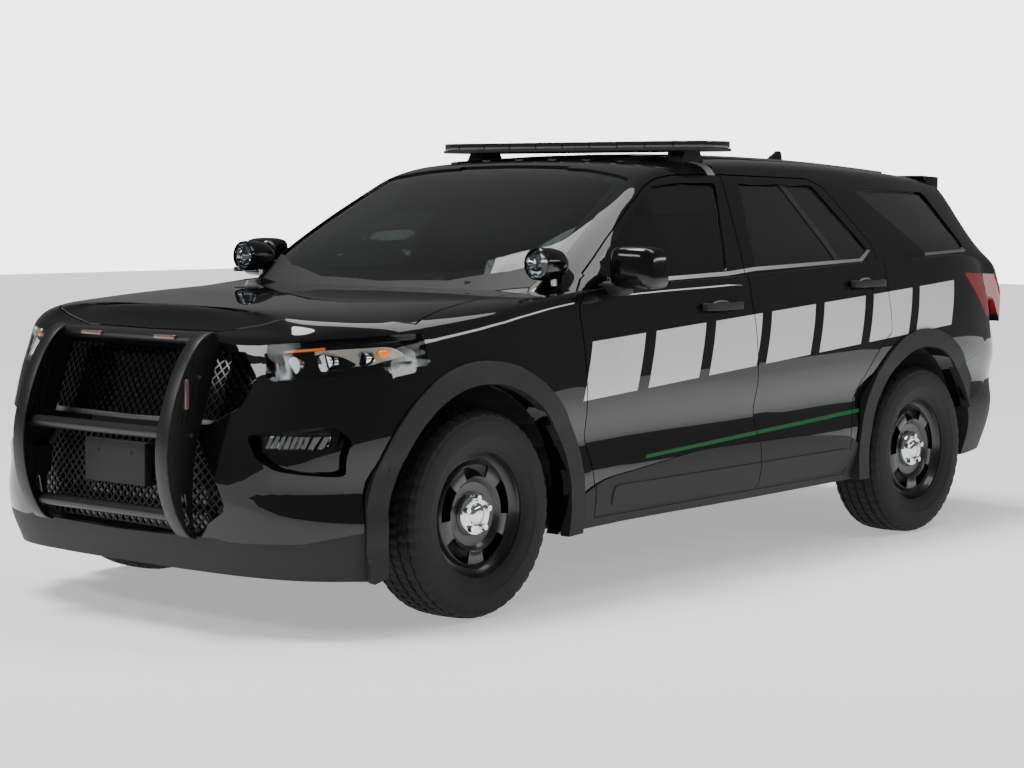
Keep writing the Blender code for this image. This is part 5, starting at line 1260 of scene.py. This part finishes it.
# Spoiler, roof fin and light bar strap
# A painted moulded spoiler with a red lamp strip, a small moulded aerial fin bonded to the roof,
# and the light bar's grey strap, hooked over the edge of the roof.
SPOILER_HALF = 0.585
spoiler_line = side_line((
    (1.2095, 0.957), (1.260, 0.9535), (1.318, 0.944),
    (1.318, 0.937), (1.258, 0.922), (1.240, 0.900)))
spoiler = prism(spoiler_line, "X", -SPOILER_HALF, SPOILER_HALF)
spoiler_plan = [
    (-SPOILER_HALF, 3.60), (SPOILER_HALF, 3.60), (SPOILER_HALF, 3.80), (0.50, 3.90), (0.35, 3.965),
    (0.0, 3.99), (-0.35, 3.965), (-0.50, 3.90), (-SPOILER_HALF, 3.80)]
common(spoiler, plan_prism(spoiler_plan))
soften(spoiler, 0.006, 3, limit_method="ANGLE")
show(spoiler, "tailgate_spoiler", paint, "tailgate")
stop_lamp = block((-0.16, 3.955, 1.598), (0.16, 3.984, 1.605))
show(stop_lamp, "high_stop_lamp", red_lens, "tailgate")
fin_line = [(3.14, 1.695), (3.30, 1.69), (3.285, 1.752), (3.265, 1.757), (3.225, 1.735)]
fin = prism(fin_line, "X", -0.014, 0.014)
soften(fin, 0.008, 4)
show(fin, "roof_fin", paint, "body")
# Woven polyester, light grey and dull.
strap_fabric = finish("woven_grey_strap", "9A9C9E", 0.85, grain_mm=2.0, depth=0.3)
strap_line = [(1.715, 1.622), (1.765, 1.622), (1.765, 1.76), (1.715, 1.76)]
strap = overlay(outer, [strap_line], "X", 0.52, 0.9, 0.002, 0.001, (0.5, 0, 1))
show_pair(strap, "light_bar_strap", strap_fabric, "body")

# Light bar
# A thin extruded base on two moulded feet, under one smoked lens that is grooved between its lamp
# modules.
BAR_GROOVES = (-0.60, -0.45, -0.30, -0.15, 0.0, 0.15, 0.30, 0.45, 0.60)
HALF_GROOVE = 0.002
FOOT_PLACE = 0.56
FOOT_HALF = 0.045
# Polycarbonate dyed nearly black, glossy over dark lamps that are switched off.
smoked_lens = finish("smoked_polycarbonate", "15171A", 0.10, grain_mm=4.0, depth=0.01,
                     Coat_Weight=1.0, Coat_Roughness=0.02)
bar_line = [
    (-0.753, 1.700), (-0.735, 1.650), (-0.66, 1.606), (0.66, 1.606), (0.735, 1.650), (0.753, 1.700),
    (0.753, 1.800), (0.735, 1.848), (0.66, 1.888), (-0.66, 1.888), (-0.735, 1.848), (-0.753, 1.800)]
bar_base = plan_prism(rounded(bar_line, 0.05), 1.722, 1.735)
soften(bar_base, 0.003, 2, limit_method="ANGLE")
show(bar_base, "light_bar_base", black_plastic, "body", ["light_bar"])
bar_lens = plan_prism(rounded(grown(bar_line, -0.006), 0.05), 1.7365, 1.7645)
grooves = []
for x in BAR_GROOVES:
    for front, rear in ((1.58, 1.618), (1.876, 1.92)):
        grooves.append([(x - HALF_GROOVE, front), (x + HALF_GROOVE, front),
                        (x + HALF_GROOVE, rear), (x - HALF_GROOVE, rear)])
cut(bar_lens, prisms(grooves, "Z", 1.70, 1.80))
soften(bar_lens, 0.005, 3, limit_method="ANGLE")
show(bar_lens, "light_bar_lens", smoked_lens, "body")
foot_line = [(1.66, 1.672), (1.83, 1.672), (1.80, 1.724), (1.69, 1.724)]
for hand, x in (("right", -FOOT_PLACE), ("left", FOOT_PLACE)):
    foot = prism(foot_line, "X", x - FOOT_HALF, x + FOOT_HALF)
    soften(foot, 0.006, 2)
    show(foot, "light_bar_foot_" + hand, black_plastic, "body")

# Spotlights
# A turned black plastic bowl with a clear glass face over a chromed reflector, on a chromed arm
# through the base of the roof pillar.
SPOT_BASE = (0.806, 0.640, 1.270)
SPOT_AIM = (0.02, -1, 0.03)


def spun(profile, base, direction, steps, closed=False):
    """Turns a profile of places along the axis and radii about it."""
    mesh = bpy.data.meshes.new("spun")
    edges = [(index, index + 1) for index in range(len(profile) - 1)]
    if closed:
        edges.append((len(profile) - 1, 0))
    mesh.from_pydata([(radius, 0, along) for along, radius in profile], edges, [])
    piece = new_piece("spun", mesh)
    bpy.ops.object.select_all(action="DESELECT")
    piece.select_set(True)
    bpy.context.view_layer.objects.active = piece
    bpy.ops.object.mode_set(mode="EDIT")
    bpy.ops.mesh.select_all(action="SELECT")
    bpy.ops.mesh.spin(steps=steps, angle=math.tau, center=(0, 0, 0), axis=(0, 0, 1))
    bpy.ops.mesh.select_all(action="SELECT")
    bpy.ops.mesh.remove_doubles(threshold=0.0001)
    bpy.ops.mesh.normals_make_consistent(inside=False)
    bpy.ops.object.mode_set(mode="OBJECT")
    turn = Vector(direction).to_track_quat("Z", "Y").to_matrix().to_4x4()
    mesh.transform(Matrix.Translation(base) @ turn)
    return piece


# Places along the lamp and radii about its axis
bowl_profile = [
    (0.0, 0.0), (0.003, 0.022), (0.018, 0.042), (0.045, 0.056), (0.085, 0.062), (0.150, 0.063),
    (0.162, 0.061), (0.166, 0.056), (0.160, 0.053), (0.120, 0.050), (0.095, 0.035), (0.090, 0.0)]
reflector_profile = [
    (0.096, 0.0), (0.100, 0.030), (0.122, 0.047), (0.150, 0.0505),
    (0.150, 0.049), (0.124, 0.045), (0.103, 0.028), (0.099, 0.0)]
face_profile = [(0.152, 0.0), (0.152, 0.052), (0.156, 0.052), (0.158, 0.0)]
for name, profile, material, replaced in (
    ("spotlight_bowl", bowl_profile, gloss_plastic, ["spotlight_{}"]),
    ("spotlight_reflector", reflector_profile, chrome, []),
    ("spotlight_face", face_profile, clear_lens, []),
):
    spot_part = spun(profile, SPOT_BASE, SPOT_AIM, 48)
    show_pair(spot_part, name, material, "body", replaced)
spot_arm = rod((0.806, 0.585, 1.215), (0.806, 0.585, 1.19), 0.014, 24)
join(spot_arm, rod((0.806, 0.578, 1.200), (0.815, 0.655, 1.165), 0.009, 24))
show_pair(spot_arm, "spotlight_arm", chrome, "body", angle=40)

# Door mirrors
# A moulded black housing on a short arm that is bolted to the front door, with a silvered glass
# in its rear face.
# Silvered glass, a sharp mirror.
silvered = finish("silvered_mirror_glass", "C9CED2", 0.02, metallic=1.0, grain_mm=4.0, depth=0.005)
housing = pebble((1.034, 0.818, 1.260), (0.102, 0.078, 0.084), 0.35)
# The outer end sweeps to the rear and leans in at its top.
for vertex in housing.data.vertices:
    if vertex.co.x > 1.0:
        vertex.co.y += 0.18 * (vertex.co.x - 1.0)
        vertex.co.x -= 0.133 * (vertex.co.z - 1.262)
cut(housing, block((0.90, 0.868, 1.1), (1.2, 0.95, 1.45)))
soften(housing, 0.004, 3, limit_method="ANGLE", angle_limit=math.radians(50))
show_pair(housing, "mirror_housing", gloss_plastic, "front_door_{}",
          ["mirror_{}"], 40)
glass_plate = rounded([(0.965, 1.215), (1.105, 1.222), (1.095, 1.312), (0.965, 1.318)], 0.03)
mirror_glass = prism(glass_plate, "Y", 0.864, 0.871)
show_pair(mirror_glass, "mirror_glass", silvered, "front_door_{}")
mirror_arm = pebble((0.945, 0.800, 1.180), (0.060, 0.050, 0.030), 0.3)
show_pair(mirror_arm, "mirror_arm", black_plastic, "front_door_{}")

# Push bumper
# Two bent steel bands with welded side plates, tied by three round tubes, all powder coated black.
BAND_DEPTH = 0.010
PUSH_X = 0.392
BAND_HALF = 0.030
# Powder coat, black with a soft satin shine and a slight texture.
powder_coat = finish("black_powder_coat", "0D0D0E", 0.38, grain_mm=1.5, depth=0.15)
# Zinc-plated steel, a plain grey metal.
zinc_screw = finish("zinc_plated_steel", "8B8D90", 0.35, metallic=1.0, grain_mm=1.0, depth=0.05)
push_places = side_line((
    (-0.256, 0.6046), (-0.2645, 0.6162), (-0.281, 0.6075), (-0.2992, 0.5754), (-0.3157, 0.5257),
    (-0.3289, 0.4673), (-0.3375, 0.4089), (-0.3390, 0.3505), (-0.3339, 0.2921), (-0.3223, 0.2395),
    (-0.3074, 0.2044), (-0.2942, 0.1957)))
push_curve = spline([(y, z, 0) for y, z in push_places], 4)
push_front = [(point.x, point.y) for point in push_curve]
plate_line = push_front + side_line(((-0.272, 0.1957), (-0.246, 0.592)))
band_back = grown(plate_line, -BAND_DEPTH)[:len(push_front)]
band = prism(push_front + list(reversed(band_back)), "X", PUSH_X - BAND_HALF, PUSH_X + BAND_HALF)
soften(band, 0.003, 2, limit_method="ANGLE", angle_limit=math.radians(60))
show_pair(band, "push_bumper_band", powder_coat, "body", ["push_bumper"])
plate = prism(grown(plate_line, -0.006), "X", PUSH_X + 0.004, PUSH_X + 0.011)
plate_holes = [rounded([(-0.945, 0.50), (-0.925, 0.50), (-0.905, 0.385), (-0.925, 0.385)], 0.009)]
for index in range(3):
    shift = 0.020 * index
    plate_holes.append([(-0.905 + shift, 0.98 - shift), (-0.902 + shift, 0.98 - shift),
                        (-0.958 + shift, 0.74), (-0.961 + shift, 0.74)])
cut(plate, prisms(plate_holes, "X", 0.3, 0.5))
cut(plate, outer, True)
show_pair(plate, "push_bumper_plate", powder_coat, "body")
for index, (y, z) in enumerate(((-0.90, 0.70), (-0.885, 0.40), (-0.86, 0.90))):
    bolt = rod((PUSH_X + 0.009, y, z), (PUSH_X + 0.017, y, z), 0.008, 6)
    show_pair(bolt, "push_bumper_bolt_%d" % index, zinc_screw, "body")
tube_places = side_line(((-0.2678, 0.6016), (-0.3207, 0.4136), (-0.3107, 0.2453)))
for index, (y, z) in enumerate(tube_places):
    tube = rod((-PUSH_X, y, z), (PUSH_X, y, z), 0.022, 32)
    show(tube, "push_bumper_tube_%d" % index, powder_coat, "body", angle=40)
mount_line = side_line(((-0.315, 0.300), (-0.25, 0.300), (-0.25, 0.358), (-0.315, 0.358)))
mount = cut(prism(mount_line, "X", PUSH_X - 0.022, PUSH_X + 0.003), outer, True)
show_pair(mount, "push_bumper_mount", powder_coat, "body")
# Clear resin over red lamp chips, a dull pinkish brown while they are off.
led_lens = finish("clear_lamp_resin_over_red", "6E5552", 0.20, grain_mm=6.0, depth=0.02,
                  Coat_Weight=1.0)
for index, x in enumerate((-0.20, 0.20)):
    module = block((x - 0.055, -0.842, 1.022), (x + 0.055, -0.824, 1.038))
    soften(module, 0.004, 3)
    show(module, "push_bumper_lamp_%d" % index, led_lens, "body")
side_module = block((PUSH_X + 0.010, -0.930, 0.790), (PUSH_X + 0.020, -0.910, 0.895))
soften(side_module, 0.004, 3)
show_pair(side_module, "push_bumper_side_lamp", led_lens, "body")

# Wheels
# A moulded rubber tyre with a block tread on a pressed steel wheel, painted gloss black, with a
# chromed cap that covers five nuts.
TRACK_X = 0.8475
TYRE_STEPS = 180
TREAD_DEPTH = 0.0055
HOLE_COUNT = 5
HOLE_OUTER = 0.182
HOLE_INNER = 0.138
HALF_HOLE = 22
NUT_RING = 0.060
NUT_RADIUS = 0.0155
NUT_TIP_RADIUS = 0.011


def wheel_part(profile, steps, closed=False):
    """Turns a profile about the front axle, at the left wheel's place."""
    placed = [(TRACK_X + x, radius) for x, radius in profile]
    return spun(placed, (0, 0, AXLE_Z), (1, 0, 0), steps, closed)


# Carbon-filled rubber, nearly black, dull and finely rough.
tyre_rubber = finish("moulded_tyre_rubber", "121213", 0.78, grain_mm=2.5, depth=0.15)
# Baked enamel, black with softer reflections than the body's paint.
wheel_enamel = finish("gloss_black_wheel_enamel", "060607", 0.38, grain_mm=3.0, depth=0.02,
                      Coat_Weight=0.45, Coat_Roughness=0.10)
# Turned grey iron, dark with a metallic sheen.
cast_iron = finish("machined_cast_iron", "4A4846", 0.45, metallic=0.9, grain_mm=2.0, depth=0.1)
# The profiles are rows of a place across, from the middle of the wheel outward, and a radius.
half_profile = [
    (0.0, 0.3745), (0.006, 0.3745), (0.007, 0.3815),
    (0.040, 0.3812), (0.041, 0.3740), (0.050, 0.3738),
    (0.051, 0.3805), (0.082, 0.3780), (0.084, 0.3710), (0.091, 0.3700), (0.093, 0.3760),
    (0.108, 0.3690), (0.116, 0.3620), (0.1175, 0.3530), (0.1225, 0.3450), (0.1240, 0.3360),
    (0.1268, 0.3200), (0.1275, 0.3000), (0.1272, 0.2880), (0.1255, 0.2860), (0.1215, 0.2650),
    (0.1150, 0.2490), (0.1120, 0.2440), (0.1080, 0.2400), (0.1000, 0.2300), (0.0, 0.2300)]
tyre_profile = [(-x, radius) for x, radius in reversed(half_profile[1:-1])] + half_profile[:-1]
rim_profile = [
    (0.1100, 0.2455), (0.1060, 0.2380), (0.0980, 0.2320), (0.0800, 0.2260), (0.0640, 0.2180),
    (0.0560, 0.2060), (0.0600, 0.1960), (0.0760, 0.1880), (0.0820, 0.1780), (0.0820, 0.1380),
    (0.0760, 0.1280), (0.0640, 0.1160), (0.0620, 0.0950), (0.0640, 0.0), (0.0560, 0.0),
    (0.0540, 0.0950), (0.0560, 0.1200), (0.0680, 0.1330), (0.0740, 0.1420), (0.0740, 0.1750),
    (0.0680, 0.1830), (0.0520, 0.1920), (0.0470, 0.2060), (0.0550, 0.2220), (0.0780, 0.2310),
    (0.1020, 0.2400), (0.1060, 0.2455)]
barrel_profile = [
    (0.0560, 0.2240), (-0.0300, 0.2000), (-0.0850, 0.2020), (-0.1000, 0.2260), (-0.1060, 0.2455),
    (-0.1100, 0.2455), (-0.1060, 0.2200), (-0.0920, 0.1960), (-0.0300, 0.1940), (0.0560, 0.2180)]
cap_profile = [
    (0.0640, 0.0820), (0.0740, 0.0810), (0.0830, 0.0740), (0.0860, 0.0640), (0.0860, 0.0420),
    (0.0900, 0.0380), (0.0960, 0.0300), (0.0985, 0.0180), (0.0990, 0.0)]
disc_profile = [(0.0200, 0.0), (0.0200, 0.1650), (0.0, 0.1650), (0.0, 0.0)]
tyre = wheel_part(tyre_profile, TYRE_STEPS, True)
# Grooves across the tread: every third or fourth step is sunk, staggered from row to row.
for vertex in tyre.data.vertices:
    across = abs(vertex.co.x - TRACK_X)
    height = vertex.co.z - AXLE_Z
    radius = math.hypot(vertex.co.y, height)
    turn = round(math.atan2(height, vertex.co.y) / math.tau * TYRE_STEPS)
    wide = 4 if across > 0.08 else 3
    if radius > 0.3525 and (turn + (1 if across > 0.045 else 0)) % wide == 0:
        shrink = (radius - TREAD_DEPTH) / radius
        vertex.co.y *= shrink
        vertex.co.z = AXLE_Z + height * shrink
rim_face = wheel_part(rim_profile, 96)
hole_lines = []
for index in range(HOLE_COUNT):
    middle = 90 + 360 / HOLE_COUNT * index
    hole_line = arc((0, AXLE_Z), HOLE_OUTER, middle - HALF_HOLE, middle + HALF_HOLE, 10)
    hole_line += arc((0, AXLE_Z), HOLE_INNER, middle + HALF_HOLE, middle - HALF_HOLE, 10)
    hole_lines.append(hole_line)
cut(rim_face, prisms(hole_lines, "X", TRACK_X + 0.02, TRACK_X + 0.12))
rim_barrel = wheel_part(barrel_profile, 96, True)
hub_cap = wheel_part(cap_profile, 64)
for index in range(HOLE_COUNT):
    angle = math.radians(90 + 360 / HOLE_COUNT * index)
    y = NUT_RING * math.cos(angle)
    z = AXLE_Z + NUT_RING * math.sin(angle)
    nut = rod((TRACK_X + 0.066, y, z), (TRACK_X + 0.100, y, z), NUT_RADIUS, 24, NUT_TIP_RADIUS)
    join(hub_cap, nut)
brake_disc = wheel_part(disc_profile, 64)
for end, axle_y in (("rear", WHEELBASE), ("front", 0)):
    for piece, name, material, replaced, slot in (
        (tyre, "tyre_carcass", tyre_rubber, ["tyre_%s_{}" % end], "tyre"),
        (rim_face, "wheel_face", wheel_enamel, ["rim_%s_{}" % end], "black_steel_wheel"),
        (rim_barrel, "wheel_barrel", wheel_enamel, [], "black_steel_wheel"),
        (hub_cap, "wheel_cap", chrome, [], "black_steel_wheel"),
        (brake_disc, "brake_disc", cast_iron, [], "black_steel_wheel"),
    ):
        copied = twin(piece) if end == "rear" else piece
        copied.data.transform(Matrix.Translation((0, axle_y, 0)))
        show_pair(copied, name + "_" + end, material, "wheel_%s_{}" % end, replaced, 35)

# Seats
# Foam pads under woven cloth, in two front seats with head restraints and one rear bench.
FOAM_VOXEL = 0.024
FOAM_PRESSURE = 4
FOAM_STEPS = 20
FOAM_REACH = 0.012
# Side outlines of cushion, back and head restraint
SEAT_OUTLINES = (
    ((0.372, 0.285), (0.505, 0.275), (0.520, 0.330), (0.505, 0.365), (0.37, 0.380), (0.356, 0.350)),
    ((0.525, 0.300), (0.548, 0.330), (0.603, 0.63), (0.598, 0.670), (0.572, 0.660), (0.524, 0.42)),
    ((0.590, 0.715), (0.614, 0.705), (0.630, 0.790), (0.613, 0.805), (0.602, 0.79)),
)
BENCH_OUTLINES = (
    ((0.700, 0.285), (0.822, 0.275), (0.836, 0.330), (0.822, 0.372), (0.70, 0.390), (0.690, 0.360)),
    ((0.846, 0.300), (0.880, 0.350), (0.915, 0.655), (0.900, 0.668), (0.862, 0.42), (0.840, 0.38)),
)


def pad(outlines, low_x, high_x, name, replaced):
    piece = prisms([side_line(outline) for outline in outlines], "X", low_x, high_x)
    soften(piece, 0.03, 2, limit_method="ANGLE")
    apply_modifier(piece, "REMESH", mode="VOXEL", voxel_size=FOAM_VOXEL)
    start = [vertex.co.copy() for vertex in piece.data.vertices]
    cloth = piece.modifiers.new("foam", "CLOTH")
    cloth.settings.use_pressure = True
    cloth.settings.uniform_pressure_force = FOAM_PRESSURE
    cloth.settings.effector_weights.gravity = 0
    for step in range(1, FOAM_STEPS + 1):
        bpy.context.scene.frame_set(step)
    bpy.ops.object.select_all(action="DESELECT")
    bpy.context.view_layer.objects.active = piece
    bpy.ops.object.modifier_apply(modifier="foam")
    bpy.context.scene.frame_set(1)
    for vertex, before in zip(piece.data.vertices, start):
        move = vertex.co - before
        vertex.co = before + move * min(1, FOAM_REACH / max(move.length, 1e-6))
    apply_modifier(piece, "SUBSURF", levels=1, render_levels=1)
    return show(piece, name, seat_cloth, "body", [replaced], 60)


# Woven polyester cloth, charcoal with a coarse dull weave.
seat_cloth = finish("woven_seat_cloth", "2B2C2E", 0.92, grain_mm=2.5, depth=0.4)
for hand, side in (("left", 1), ("right", -1)):
    right_x, left_x = sorted((side * 0.135, side * 0.625))
    pad(SEAT_OUTLINES, right_x, left_x, "front_seat_pad_" + hand, "front_seat_" + hand)
pad(BENCH_OUTLINES, -0.56, 0.56, "rear_bench_pad", "rear_bench")

# Cabin fittings and chassis
# Soft-touch moulded dashboard and steering wheel, carpet on the floor pan, and dip-coated steel and
# cast aluminium below. These are the CAD solids themselves, with their real finishes.
drop(outer, inner, skin_back, box_face, pocket_floor, glass_face, glass_back, lens_back)
drop(mesh_face, recess_floor, shell, skin, thick, glass)
# Foamed plastic skin, charcoal without shine.
soft_touch = finish("soft_touch_plastic", "1D1E20", 0.75, grain_mm=1.5, depth=0.3)
# Steel in a black dipped coat, a low even shine.
coated_steel = finish("dipped_chassis_steel", "141516", 0.55, grain_mm=6.0, depth=0.1)
# Sand-cast aluminium, mid grey and rough.
cast_aluminium = finish("cast_aluminium", "5C5E60", 0.55, metallic=0.9, grain_mm=4.0, depth=0.3)
# Needled polyester, black and fully dull.
carpet = finish("needled_carpet", "1C1C1D", 0.97, grain_mm=4.0, depth=0.6)
finishes = {
    "dashboard": soft_touch,
    "steering_wheel": soft_touch,
    "floor_pan": carpet,
    "engine_block": cast_aluminium,
}
for name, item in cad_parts.items():
    if not item.hide_render:
        item.data.materials.clear()
        item.data.materials.append(finishes.get(name, coated_steel))
